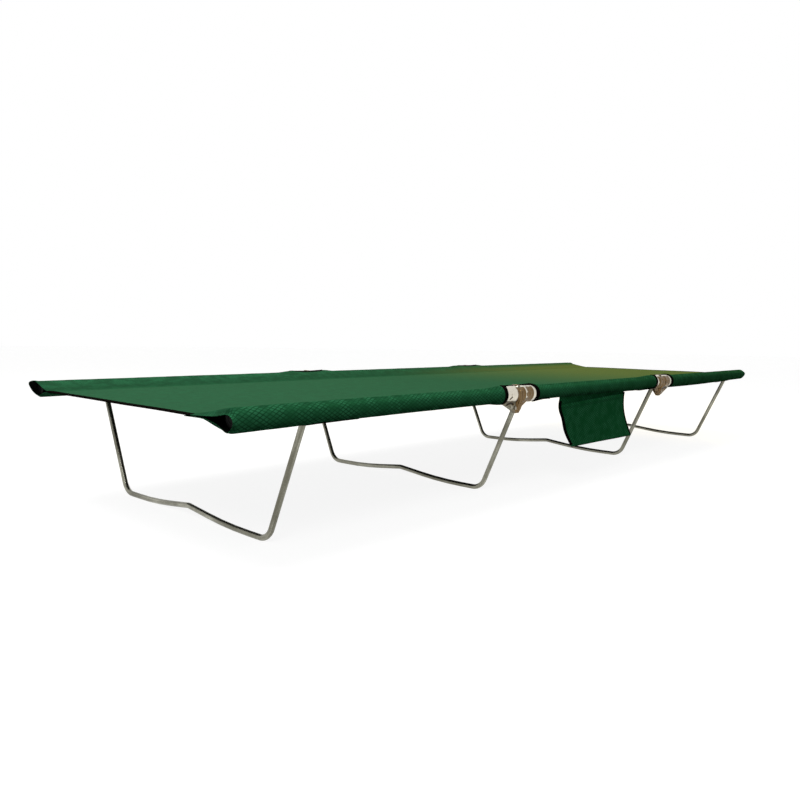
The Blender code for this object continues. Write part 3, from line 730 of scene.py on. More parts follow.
# The bed cloth. It is cut flat, and its flat coordinates are X along the bed and S across it,
# where S runs from the middle over a rail and back under it to the seam.
cloth = {
    "thickness": 0.0009,
    "seamY": 0.22775,
    "stitchInsets": (0.002, 0.0075),        # the two stitch rows, in from the seam
    "sleeveRadius": 0.0139,     # middle of the cloth round a rail
    "hem": 0.009,               # flap past the seam, sewn under the panel
    "hemDrop": 0.0017,
    "sag": 0.0016,
    "sagFades": (0.98, 0.6),    # X where the sag is gone and where it is full
    "creaseSize": 0.0007,
    "scoop": 0.0012,            # how far the two end hems curve in
    "scoopReach": 0.10,
    # The openings round the hinges, from and to, by end
    "cutouts": {-1: (0.2680, 0.3652), 1: (0.2825, 0.3680)},
    "cutoutOver": 0.0068,       # how far they reach in from the rail, over it and under it
    "cutoutUnder": 0.0196,
    "cutoutCorner": 3.2,        # 2 is an oval, higher is squarer
    "cutoutFlare": 0.0027,      # how much the sleeve opens to pass over a casting
    "flareFades": (0.088, 0.054),       # distance from the hinge where that is gone and where it is full
    "bendReach": 0.030,         # how far to each side of a hinge it turns from one section to the next
    "slotBehind": 0.006,        # openings under the sleeves, for the legs
    "slotAhead": 0.098,
    "slotInboard": 0.052,
    "slotOutboard": 0.0014,
    "slotCorner": 6.0,
    "mouthLength": 0.0165,      # where the sleeve hangs free past the rail's end
    "puff": 0.0003,             # small unevenness of the sleeves, outward and up
    "ripple": 0.0002,
    # How far the near sleeve's lower half hangs off its rail, by X. The far one does by farDroop of it.
    "droop": ((-0.9525, 0.0042), (-0.85, 0.0028), (-0.74, 0.0011), (-0.60, 0.0003), (-0.40, 0.0),
              (-0.15, 0.0), (0.02, 0.0010), (0.22, 0.0026), (0.40, 0.0032), (0.55, 0.0038),
              (0.72, 0.0026), (0.86, 0.0006), (0.9525, 0.0)),
    "farDroop": 0.15,
    "droopGrows": (0.40, 0.60),         # shares of the way round
    "droopFades": (0.98, 0.74),
}

# The sleeves' free ends, by end and rail: from seam round to seam, each point as the share of the
# way round, how far outboard of the rail's line, how far above it and how far drawn back.
mouths = {
    (-1, -1): (
        (0.0, -0.076, 0.0, 0.0), (0.2, -0.038, 0.0016, 0.003), (0.3, -0.020, 0.0026, 0.0055),
        (0.38, -0.005, 0.0056, 0.0078), (0.44, 0.0045, 0.0052, 0.0086), (0.5, 0.0110, 0.0010, 0.0088),
        (0.53, 0.0130, -0.0034, 0.0088), (0.57, 0.0112, -0.0096, 0.0086), (0.62, 0.0020, -0.0165, 0.0080),
        (0.68, -0.0085, -0.0130, 0.0074), (0.75, -0.0205, -0.0074, 0.0060), (0.83, -0.0335, -0.0036, 0.0040),
        (0.9, -0.0470, -0.0018, 0.0020), (1.0, -0.076, -0.0017, 0.0),
    ),
    (-1, 1): (
        (0.0, -0.076, 0.0, 0.0), (0.2, -0.038, 0.0046, 0.0050), (0.33, -0.012, 0.0120, 0.0060),
        (0.42, 0.002, 0.0150, 0.0050), (0.5, 0.0150, 0.0100, 0.0010), (0.57, 0.0085, -0.0040, 0.0050),
        (0.64, -0.0050, -0.0112, 0.0086), (0.72, -0.0200, -0.0092, 0.0080), (0.82, -0.0400, -0.0048, 0.0048),
        (0.92, -0.0600, -0.0022, 0.0012), (1.0, -0.076, -0.0017, 0.0),
    ),
    (1, -1): (
        (0.0, -0.076, 0.0, 0.0), (0.2, -0.037, 0.0058, 0.0010), (0.35, -0.009, 0.0122, 0.0060),
        (0.44, 0.0050, 0.0108, 0.0070), (0.5, 0.0132, 0.0026, 0.0040), (0.56, 0.0085, -0.0080, 0.0066),
        (0.64, -0.0050, -0.0130, 0.0080), (0.78, -0.0255, -0.0088, 0.0050), (0.9, -0.0480, -0.0046, 0.0014),
        (1.0, -0.076, -0.0017, 0.0),
    ),
    (1, 1): (
        (0.0, -0.076, 0.0, 0.0), (0.2, -0.046, 0.0004, 0.0), (0.31, -0.026, 0.0050, -0.0060),
        (0.39, -0.012, 0.0136, -0.0120), (0.45, 0.001, 0.0130, -0.0100), (0.5, 0.0105, 0.0060, -0.0060),
        (0.57, 0.0090, -0.0095, 0.0016), (0.64, -0.0030, -0.0140, 0.0056), (0.77, -0.0240, -0.0088, 0.0044),
        (0.9, -0.0480, -0.0040, 0.0018), (1.0, -0.076, -0.0017, 0.0),
    ),
}


def sleeveLengths(values):
    reach = bed["railY"] - values["seamY"]
    meet = math.acos(values["sleeveRadius"] / reach)
    straight = math.sqrt(reach**2 - values["sleeveRadius"] ** 2)
    return reach, meet, straight, 2 * (math.pi - meet) * values["sleeveRadius"]


reach, meet, straight, wrap = sleeveLengths(cloth)
sleeveWay = 2 * straight + wrap
flatHalf = cloth["seamY"] + sleeveWay + cloth["hem"]


def teardrop(way, radius):
    # The place on a sleeve after a share of its way round: (outboard, up) from the rail's line.
    turn = math.acos(radius / reach)
    line = math.sqrt(reach**2 - radius**2)
    arc = 2 * (math.pi - turn) * radius
    gone = way * (2 * line + arc)
    seam = Vector((-reach, 0.0))
    if gone < line:
        top = Vector((-radius * math.cos(turn), radius * math.sin(turn)))
        return seam.lerp(top, gone / line)
    if gone < line + arc:
        angle = math.pi - turn - (gone - line) / radius
        return Vector((radius * math.cos(angle), radius * math.sin(angle)))
    low = Vector((-radius * math.cos(turn), -radius * math.sin(turn)))
    back = (gone - line - arc) / line
    return low.lerp(seam, back) - Vector((0.0, cloth["hemDrop"] * back))


def lowerWay(outboard):
    # Flat S of a place on a sleeve's lower layer, given outboard from the rail's line.
    radius = cloth["sleeveRadius"]
    low = -radius * math.cos(meet)
    if outboard < low:
        return cloth["seamY"] + sleeveWay - (outboard + reach) / (low + reach) * straight
    turned = math.asin(outboard / radius) - math.asin(low / radius)
    return cloth["seamY"] + straight + wrap - turned * radius


def openings(end):
    # The holes in one half of the cloth as (x, s, half length, half width, corner) in flat terms.
    top = -cloth["sleeveRadius"] * math.cos(meet)
    over = cloth["seamY"] + straight - (cloth["cutoutOver"] + top) / math.sin(meet)
    under = cloth["seamY"] + straight + wrap + (cloth["cutoutUnder"] + top) / math.sin(meet)
    start, stop = cloth["cutouts"][end]
    spans = [(start, stop, over, under, cloth["cutoutCorner"])]
    s0, s1 = lowerWay(cloth["slotOutboard"]), lowerWay(-cloth["slotInboard"])
    for legX in (bed["endLegX"], bed["middleLegX"]):
        spans.append((legX - cloth["slotAhead"], legX + cloth["slotBehind"], s0, s1, cloth["slotCorner"]))
    return [
        (end * (x0 + x1) / 2, (s0 + s1) / 2, (x1 - x0) / 2, (s1 - s0) / 2, corner)
        for x0, x1, s0, s1, corner in spans
    ]


def insideOpening(x, s, shapes):
    # Above zero inside an opening, as the distance to its edge in metres, roughly.
    best = -1.0
    for cx, cs, halfX, halfS, power in shapes:
        share = (abs((x - cx) / halfX) ** power + abs((abs(s) - cs) / halfS) ** power) ** (1 / power)
        best = max(best, (1 - share) * min(halfX, halfS))
    return best


def curveAt(points, share):
    # A smooth curve through points that start with their own share of the way.
    last = len(points) - 1
    k = max(1, next((i for i, p in enumerate(points) if p[0] >= share), last))
    a, b = points[k - 1], points[k]
    before, after = points[max(k - 2, 0)], points[min(k + 1, last)]
    t = (share - a[0]) / (b[0] - a[0])
    made = []
    for n in range(1, len(a)):
        span = b[0] - a[0]
        m0 = (b[n] - before[n]) / max(b[0] - before[0], 1e-6) * span
        m1 = (after[n] - a[n]) / max(after[0] - a[0], 1e-6) * span
        made.append((2 * t**3 - 3 * t**2 + 1) * a[n] + (t**3 - 2 * t**2 + t) * m0
                    + (3 * t**2 - 2 * t**3) * b[n] + (t**3 - t**2) * m1)
    return made


def clothPoint(x, s):
    # From the flat cloth to its place on the bed.
    side = -1 if s < 0 else 1
    over = abs(s) - cloth["seamY"]
    edge = abs(x) - bed["endX"] + cloth["mouthLength"]
    free = smoothStep(0.0, cloth["mouthLength"], edge)
    near = smoothStep(*cloth["flareFades"], abs(abs(x) - bed["hingeX"]))
    if over <= 0:
        share = s / cloth["seamY"]
        bowl = 1 - share * share
        crease = wobble(x * 3.1, s * 6.0, 1.7) + 0.5 * wobble(x * 9.0, s * 11.0, 4.2)
        dip = cloth["sag"] * bowl * smoothStep(*cloth["sagFades"], abs(x))
        z = -dip + cloth["creaseSize"] * crease * min(1.0, 4 * (1 - abs(share)))
        scoop = cloth["scoop"] * bowl * smoothStep(bed["endX"] - cloth["scoopReach"], bed["endX"], abs(x))
        return Vector((x - math.copysign(scoop, x), s, bed["railZ"] + z))
    way = min(over / sleeveWay, 1.0)
    radius = cloth["sleeveRadius"] + cloth["cutoutFlare"] * near
    radius += cloth["puff"] * (0.5 + 0.5 * wobble(x * 22.0, s * 30.0, 8.0))
    out, up = teardrop(way, radius)
    droop = curveAt(cloth["droop"], x)[0] * (1 if side < 0 else cloth["farDroop"])
    low = smoothStep(*cloth["droopGrows"], way) * smoothStep(*cloth["droopFades"], way)
    up -= droop * (1 - near) * low
    if free > 0:
        mouthOut, mouthUp, back = curveAt(mouths[(1 if x > 0 else -1, side)], way)
        out += (mouthOut - out) * free
        up += (mouthUp - up) * free
        x -= math.copysign(back * free, x)
    if over > sleeveWay:
        out -= over - sleeveWay
        up -= 0.2 * cloth["sag"] * (over - sleeveWay) / cloth["hem"]
    up += cloth["ripple"] * wobble(x * 40.0, s * 25.0, 3.0) * min(1.0, way * 12, (1 - way) * 12)
    return Vector((x, side * (bed["railY"] + out), bed["railZ"] + up))


def stops(points, steps):
    # Places from point to point, with about the given step in each stretch.
    made = [points[0]]
    for start, end, step in zip(points, points[1:], steps):
        count = max(1, round(abs(end - start) / step))
        made += [start + (end - start) * k / count for k in range(1, count + 1)]
    return made


def orderedLoops(edges):
    # Chains of boundary edges, as lists of verts in order and whether each closes on itself.
    left = dict.fromkeys(edges)         # kept in order, so that each run gives the same chains
    chains = []
    while left:
        edge = next(iter(left))
        left.pop(edge)
        chain = [edge.verts[0], edge.verts[1]]
        grown = True
        while grown:
            grown = False
            for at, put in ((-1, chain.append), (0, lambda v: chain.insert(0, v))):
                following = [e for e in chain[at].link_edges if e in left]
                if following:
                    left.pop(following[0])
                    put(following[0].other_vert(chain[at]))
                    grown = True
        closed = chain[0] == chain[-1]
        chains.append((chain[:-1] if closed else chain, closed))
    return chains


def tapeFrames(shape, chain, closed):
    # For each vert of a boundary chain: its place, the way into the cloth, and the cloth's normal.
    shape.normal_update()
    frames = []
    count = len(chain)
    for k, vert in enumerate(chain):
        after = chain[(k + 1) % count] if closed else chain[min(k + 1, count - 1)]
        before = chain[k - 1] if closed else chain[max(k - 1, 0)]
        run = (after.co - before.co).normalized()
        normal = vert.normal.normalized()
        inward = normal.cross(run).normalized()
        middle = Vector()
        for face in vert.link_faces:
            middle += face.calc_center_median() / len(vert.link_faces)
        if inward.dot(middle - vert.co) < 0:
            inward = -inward
        frames.append((vert.co.copy(), inward, normal))
    return frames


def smoothFrames(frames, closed, rounds):
    # Each frame moves toward the middle of its neighbours. An open chain keeps its ends.
    for _ in range(rounds):
        count = len(frames)
        made = []
        for k, (place, inward, normal) in enumerate(frames):
            if not closed and k in (0, count - 1):
                made.append(frames[k])
                continue
            before, after = frames[k - 1], frames[(k + 1) % count]
            made.append((
                place * 0.5 + (before[0] + after[0]) * 0.25,
                (inward * 2 + before[1] + after[1]).normalized(),
                (normal * 2 + before[2] + after[2]).normalized(),
            ))
        frames = made
    return frames


tape = {
    "rise": 0.00105,        # half its thickness over the cloth
    "lip": 0.0011,          # how far it stands past the edge that it holds
    "wide": 0.0100,
    "slotWide": 0.006,      # round the leg slots
    "endWide": 0.0115,      # on the panel's end hems
    "endTip": 0.0035,       # where those run out, beside the seams
    "ripple": 0.12,
    # Its section, as shares of its width in from the edge and of its rise. At -1 it is at its lip.
    "section": ((1.0, 0.35), (0.96, 0.9), (0.5, 1.0), (0.12, 1.0), (-1, 0.62), (-1, -0.62),
                (0.12, -1.0), (0.5, -1.0), (0.96, -0.9), (1.0, -0.35), (1.0, 0.35)),
}


def tapeOver(name, frames, closed, widths, material, rise=tape["rise"]):
    # A folded tape over a cloth edge. It holds the edge inside it, and its UV map is its length.
    section = tape["section"]
    count = len(frames)
    steps = count if closed else count - 1
    gone = [0.0]
    for k in range(1, steps + 1):
        gone.append(gone[-1] + (frames[k % count][0] - frames[k - 1][0]).length)

    def place(i, j):
        point, inward, normal = frames[i % count]
        share, lift = section[j]
        depth = share * widths[i % count] if share > 0 else -tape["lip"]
        ripple = 1 + tape["ripple"] * wobble(gone[i] * 90.0, j * 0.7, len(name))
        return point + inward * depth + normal * (lift * rise * ripple)

    def flat(i, j):
        return (gone[i], max(section[j][0], 0.0) * widths[i % count])

    shape, _ = gridShape(steps, len(section) - 1, place, flat)
    bmesh.ops.remove_doubles(shape, verts=shape.verts[:], dist=1e-6)
    if not closed:
        bmesh.ops.holes_fill(shape, edges=[e for e in shape.edges if e.is_boundary], sides=0)
    bmesh.ops.recalc_face_normals(shape, faces=shape.faces[:])
    return finishPiece(name, shape, [material])


def evenNormals(piece):
    # Large faces set the shading, so that a thin rim draws no line beside it.
    even = piece.modifiers.new("evenNormals", "WEIGHTED_NORMAL")
    even.mode = "FACE_AREA"
    even.weight = 90


def snapToOpenings(verts, shapes, layer):
    # Moves the cut cloth's stepped edges onto the openings' smooth outlines.
    tiny = 1e-5
    for vert in verts:
        for _ in range(6):
            x, s = vert.co.x, vert.co.y
            value = insideOpening(x, s, shapes)
            acrossX = insideOpening(x + tiny, s, shapes) - insideOpening(x - tiny, s, shapes)
            acrossS = insideOpening(x, s + tiny, shapes) - insideOpening(x, s - tiny, shapes)
            slopeX, slopeS = acrossX / (2 * tiny), acrossS / (2 * tiny)
            steep = max(slopeX**2 + slopeS**2, 0.2)
            vert.co.x -= value * slopeX / steep
            vert.co.y -= value * slopeS / steep
        for loop in vert.link_loops:
            loop[layer].uv = vert.co.xy


def makeCloth(end, name, face, back, tapeMaterial):
    # One half of the bed cloth, with the tapes on its edges.
    hinge, far, seam = bed["hingeX"], bed["endX"], cloth["seamY"]
    # Rows of faces along the bed and across the cloth, closer where it bends or is cut
    xs = stops((0.0, 0.195, hinge - 0.062, hinge + 0.062, 0.712, 0.838, 0.925, far),
               (0.010, 0.005, 0.0026, 0.010, 0.004, 0.006, 0.003))
    if end < 0:
        xs = [-x for x in reversed(xs)]
    roundStart = seam + straight
    roundEnd = roundStart + wrap
    half = stops((0.0, seam - 0.012, seam, seam + 0.03, roundStart, roundEnd, roundEnd + 0.05,
                  seam + sleeveWay, flatHalf),
                 (0.010, 0.004, 0.006, 0.0042, 0.0027, 0.0042, 0.006, 0.0045))
    ss = [-s for s in reversed(half[1:])] + half
    shape, _ = gridShape(
        len(xs) - 1, len(ss) - 1, lambda i, j: Vector((xs[i], ss[j], 0.0)), lambda i, j: (xs[i], ss[j])
    )
    layer = shape.loops.layers.uv["flat"]

    # The openings are cut while the cloth is flat
    shapes = openings(end)
    gone = [f for f in shape.faces if insideOpening(*f.calc_center_median().xy, shapes) > 0]
    bmesh.ops.delete(shape, geom=gone, context="FACES")
    rim = []
    for vert in dict.fromkeys(v for e in shape.edges if e.is_boundary for v in e.verts):
        x, s = abs(vert.co.x), abs(vert.co.y)
        if abs(x - far) > 1e-4 and x > 1e-4 and s < flatHalf - 1e-4:
            rim.append(vert)
    snapToOpenings(rim, shapes, layer)
    bounds = [e for e in shape.edges if e.is_boundary]
    holes = [e for e in bounds if e.verts[0] in rim and e.verts[1] in rim]
    endEdges = [e for e in bounds if all(abs(abs(v.co.x) - far) < 1e-4 for v in e.verts)]

    # Then it goes onto the bed
    across = {vert: abs(vert.co.y) for vert in shape.verts}
    for vert in shape.verts:
        vert.co = clothPoint(vert.co.x, vert.co.y)
    bmesh.ops.recalc_face_normals(shape, faces=shape.faces[:])
    top = max(shape.faces, key=lambda f: -abs(f.calc_center_median().y))
    if top.normal.z < 0:
        bmesh.ops.reverse_faces(shape, faces=shape.faces[:])

    bands = []
    for number, (chain, closed) in enumerate(orderedLoops(holes)):
        frames = smoothFrames(tapeFrames(shape, chain, closed), closed, 3)
        middle = sum((f[0] for f in frames), Vector()) / len(frames)
        wide = tape["wide"] if abs(middle.x) < 0.5 else tape["slotWide"]
        label = f"{name}_opening_tape_{number}"
        bands.append(tapeOver(label, frames, closed, [wide] * len(frames), tapeMaterial))
    # The end tape ends at the seams: the sleeves' ends are plain hems.
    chain = [v for v in orderedLoops(endEdges)[0][0] if across[v] < seam + 0.0105]
    frames = smoothFrames(tapeFrames(shape, chain, False), False, 1)
    tip, wider = tape["endTip"], tape["endWide"] - tape["endTip"]
    widths = [tip + wider * smoothStep(seam + 0.010, seam - 0.004, across[v]) for v in chain]
    endTape = tapeOver(f"{name}_end_tape", frames, False, widths, tapeMaterial)

    piece = finishPiece(name, shape, [face, back])
    wall = piece.modifiers.new("wall", "SOLIDIFY")
    wall.thickness = cloth["thickness"]
    wall.offset = 0.0
    wall.material_offset = 1
    wall.material_offset_rim = 0
    evenNormals(piece)
    return piece, bands, endTape


tapeMaterial = makeTape(tapeFinish)
seamRows = [side * (cloth["seamY"] - inset) for side, _ in sides for inset in cloth["stitchInsets"]]
clothFace = makeClothFace("greenCloth", clothFinish, seamRows, clothBands)
clothBack = makeClothBack(clothFinish)
clothPieces = {}
for end, label in ends:
    piece, bands, endTape = makeCloth(end, f"{label}_cloth", clothFace, clothBack, tapeMaterial)
    clothPieces[label] = piece
    outer, inner = (end * (bed["hingeX"] + bend) for bend in (cloth["bendReach"], -cloth["bendReach"]))
    section = f"{label}_section"
    spots = ((outer, 0, bed["railZ"]), (inner, 0, bed["railZ"]))
    for item in [piece] + bands:
        if end < 0:
            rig.blend(item, section, "middle_section", spots[0], spots[1])
        else:
            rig.blend(item, "middle_section", section, spots[1], spots[0])
        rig.slot(item, "green_cloth" if item == piece else "black_tape")
    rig.ride(endTape, section)
    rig.slot(endTape, "black_tape")
    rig.replaces(endTape, f"{label}_panel_binding")
    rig.replaces(piece, f"{label}_cover", "middle_cover")
    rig.sheet(piece, flat=(bed["endX"], 2 * flatHalf), held="stretched",
             rests_on=[f"{label}_{rail}_rail" for _, rail in sides], with_pieces=bands + [endTape])
print("cloth:", len(clothPieces), "halves, flat width", round(2 * flatHalf, 4))


# The pocket under the near rail: one strip, folded at the bottom, with taped sides
pocket = {
    "start": -0.158,
    "end": 0.132,
    "top": 0.1841,          # where its back is sewn to the sleeve
    "back": 0.1030,         # length of the back, from the sleeve down
    "fold": 0.006,          # the turn at the bottom
    "front": 0.097,         # length of the front, from the bottom up
    "frontHem": 0.009,      # its stitch row, down from the mouth
    "foldRadius": 0.0012,
    "foldDrop": 0.0016,
    "belly": 0.00324,       # how far the front stands off in its middle
    "gape": 0.0042,         # how far the mouth opens
    "mouthDip": 0.10,       # how much of its height the front lacks toward the head
    "held": (0.01, 0.12),   # shares of its length over which the side tapes hold it close
    "swing": 0.019,         # how far the bottom hangs outward
    "slant": 0.985,         # so its height is a little less than its length
    "wave": 0.0016,
    "crumple": 0.0012,
    "thickness": 0.0008,
    "tapeWide": 0.0060,
    "tapeRise": 0.0022,
    # Its side edges: share of the way down, then how far each is from its own end
    "sideEdges": ((0.0, 0.0, 0.0), (0.22, -0.006, -0.008), (0.45, 0.005, -0.011), (0.70, 0.012, -0.008),
                  (1.0, 0.029, 0.001)),
}
pocketFlat = (pocket["end"] - pocket["start"], pocket["back"] + pocket["fold"] + pocket["front"])


def pocketPoint(x, p):
    # From the flat strip: p runs down the back, round the bottom fold and up the front.
    values = pocket
    share = (x - values["start"]) / (values["end"] - values["start"])
    backEnd, frontStart = values["back"], values["back"] + values["fold"]
    if p <= backEnd:
        depth, out = p, 0.0
    elif p < frontStart:
        turn = (p - backEnd) / values["fold"] * math.pi
        depth = backEnd + values["foldDrop"] * math.sin(turn)
        out = values["foldRadius"] * (1 - math.cos(turn))
    else:
        # Its mouth gapes toward the head
        rise = (p - frontStart) * (1 - values["mouthDip"] * (1 - share) ** 1.4)
        depth = backEnd - rise
        held = smoothStep(*values["held"], min(share, 1 - share))
        middle = math.sin(math.pi * share)
        belly = math.sin(math.pi * min(1.0, rise / values["front"])) * middle**0.6 * held
        gape = smoothStep(0.5, 1.0, rise / values["front"]) * middle**0.7 * held
        out = 2 * values["foldRadius"] + values["belly"] * belly + values["gape"] * gape
    fall = depth / values["back"]
    wave = values["wave"] * math.sin(fall * 5.2 + 0.6) * (1 - share) * 1.6
    wave += values["wave"] / 2 * wobble(share * 3, fall * 3, 5.0)
    swing = values["swing"] * fall**1.5 * (0.75 + 0.25 * share)
    loose = fall * math.sin(math.pi * min(max(share, 0.0), 1.0))
    crumple = values["crumple"] * wobble(x * 20.0, depth * 26.0, 2.0) * loose
    left, right = curveAt(values["sideEdges"], min(max(fall, 0.0), 1.0))
    x = x + left * (1 - share) + right * share
    y = -bed["railY"] - swing - out - wave * 0.5 - crumple
    return Vector((x, y, values["top"] - depth * values["slant"]))


def makePocket(values, face, tapeMaterial):
    columns, rows = 72, 64
    width, long = pocketFlat

    def flat(i, j):
        return (values["start"] + width * i / columns, long * j / rows)

    shape, found = gridShape(columns, rows, lambda i, j: pocketPoint(*flat(i, j)), flat)
    shape.normal_update()
    bands = []
    backRows = int(rows * values["back"] / long)
    for number, i in enumerate((0, columns)):
        frames = []
        for j in range(backRows + 1):
            # The tape closes back and front together, so it runs down the side once.
            across = round(rows * (2 * values["back"] + values["fold"]) / long) - j
            other = min(rows, max(across, backRows))
            point = (found[i, j].co + found[i, other].co) / 2
            inward = Vector((1 if i == 0 else -1, 0, 0))
            frames.append((point, inward, Vector((0, -1, -0.15)).normalized()))
        frames = smoothFrames(frames, False, 2)
        widths = [values["tapeWide"]] * len(frames)
        name = f"pocket_side_tape_{number}"
        bands.append(tapeOver(name, frames, False, widths, tapeMaterial, values["tapeRise"]))
    piece = finishPiece("side_pocket_cloth", shape, [face])
    wall = piece.modifiers.new("wall", "SOLIDIFY")
    wall.thickness = values["thickness"]
    wall.offset = 0.0
    evenNormals(piece)
    return piece, bands


pocketFinish = dict(clothFinish, face=(12, 80, 38), faded=(20, 102, 54), line=(3, 46, 21))
pocketFace = makeClothFace("pocketCloth", pocketFinish, [pocketFlat[1] - pocket["frontHem"]])
pocketPiece, pocketTapes = makePocket(pocket, pocketFace, tapeMaterial)
for item in [pocketPiece] + pocketTapes:
    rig.ride(item, "middle_section")
    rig.slot(item, "green_cloth" if item == pocketPiece else "black_tape")
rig.replaces(pocketPiece, "side_pocket")
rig.sheet(pocketPiece, flat=pocketFlat, held="hung", rests_on=["head_cloth", "foot_cloth"],
         with_pieces=pocketTapes)
print("pocket made")


# Bent rod legs
rod = {
    "radius": 0.00475,
    "centreAtFloor": 0.00445,       # a little less than the radius, for the worn flats
    "footSpread": 0.2185,           # the two feet, out from the bed's middle
    "slopeStart": 0.115,            # the kinked rung rises from here to the middle
    "kinkRise": 0.0128,
    "bends": (0.031, 1.0, 0.025, 1.0, 0.031),
    "around": 20,
    "eyeRadius": 0.0065,
    "eyeBore": 0.0034,
    "eyeThick": 0.011,
    "eyeRound": 0.0008,
}


def bentRod(shape, corners, bends, radius, around):
    # A ring pushed along straight runs and spun round each bend.
    corners = [Vector(c) for c in corners]
    ahead = (corners[1] - corners[0]).normalized()
    ring = bmesh.ops.create_circle(
        shape, cap_ends=False, segments=around, radius=radius,
        matrix=Matrix.Translation(corners[0]) @ ahead.to_track_quat("Z", "X").to_matrix().to_4x4(),
    )["verts"]
    edges = list(dict.fromkeys(e for v in ring for e in v.link_edges))
    start = corners[0]
    for k, bend in enumerate(bends):
        corner = corners[k + 1]
        following = (corners[k + 2] - corner).normalized()
        turn = ahead.angle(following)
        trim = bend * math.tan(turn / 2)
        run = (corner - ahead * trim) - start
        edges = pushRing(shape, edges, run)
        axis = ahead.cross(following).normalized()
        centre = corner + (following - ahead).normalized() * bend / math.cos(turn / 2)
        steps = max(3, round(turn / math.radians(7)))
        made = bmesh.ops.spin(
            shape, geom=edges, cent=centre, axis=axis, angle=turn, steps=steps, use_duplicate=False
        )
        edges = [g for g in made["geom_last"] if isinstance(g, bmesh.types.BMEdge)]
        start = corner + following * trim
        ahead = following
    edges = pushRing(shape, edges, corners[-1] - start)
    bmesh.ops.remove_doubles(shape, verts=shape.verts[:], dist=1e-6)
    bmesh.ops.holes_fill(shape, edges=[e for e in shape.edges if e.is_boundary], sides=0)


def pushRing(shape, edges, run):
    # Long straight runs get a ring every few centimetres, for even shading.
    count = max(1, round(run.length / 0.05))
    for _ in range(count):
        made = bmesh.ops.extrude_edge_only(shape, edges=edges)
        verts = [g for g in made["geom"] if isinstance(g, bmesh.types.BMVert)]
        edges = [g for g in made["geom"] if isinstance(g, bmesh.types.BMEdge)]
        edges = [e for e in edges if all(v in verts for v in e.verts)]
        bmesh.ops.translate(shape, verts=verts, vec=run / count)
    return edges


def makeLeg(name, legX, material):
    values = rod
    low = values["centreAtFloor"]
    corners = [
        (legX, -bed["railY"], bed["railZ"]),
        (legX, -values["footSpread"], low),
        (legX, -values["slopeStart"], low),
        (legX, 0.0, low + values["kinkRise"]),
        (legX, values["slopeStart"], low),
        (legX, values["footSpread"], low),
        (legX, bed["railY"], bed["railZ"]),
    ]
    shape = bmesh.new()
    bentRod(shape, corners, values["bends"], values["radius"], values["around"])
    # The worn flats that it stands on
    for vert in shape.verts:
        vert.co.z = max(vert.co.z, 0.0)
    for side, _ in sides:
        r, half = values["eyeRadius"], values["eyeThick"] / 2
        bore, soft = values["eyeBore"], values["eyeRound"]
        profile = [(bore, -half), (r - soft, -half), (r, -half + soft), (r, half - soft), (r - soft, half),
                   (bore, half), (bore, -half)]
        spinSolid(shape, profile, (legX, side * bed["railY"], bed["railZ"]), (0, 1, 0), (1, 0, 0), 24)
    bmesh.ops.recalc_face_normals(shape, faces=shape.faces[:])
    piece = finishPiece(name, inOrder(shape), [material])
    piece.data.set_sharp_from_angle(angle=math.radians(50))
    return piece


steel = makeMetal("drawnSteel", metalFinish["drawnSteel"], (420.0, 9.0, 9.0))
for end, label in ends:
    for kind, legX in (("end", bed["endLegX"]), ("middle", bed["middleLegX"])):
        leg = makeLeg(f"{label}_{kind}_rod", end * legX, steel)
        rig.ride(leg, f"{label}_{kind}_leg")
        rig.slot(leg, "zinc_plated_steel")
        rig.replaces(leg, f"{label}_{kind}_leg")
print("legs made")


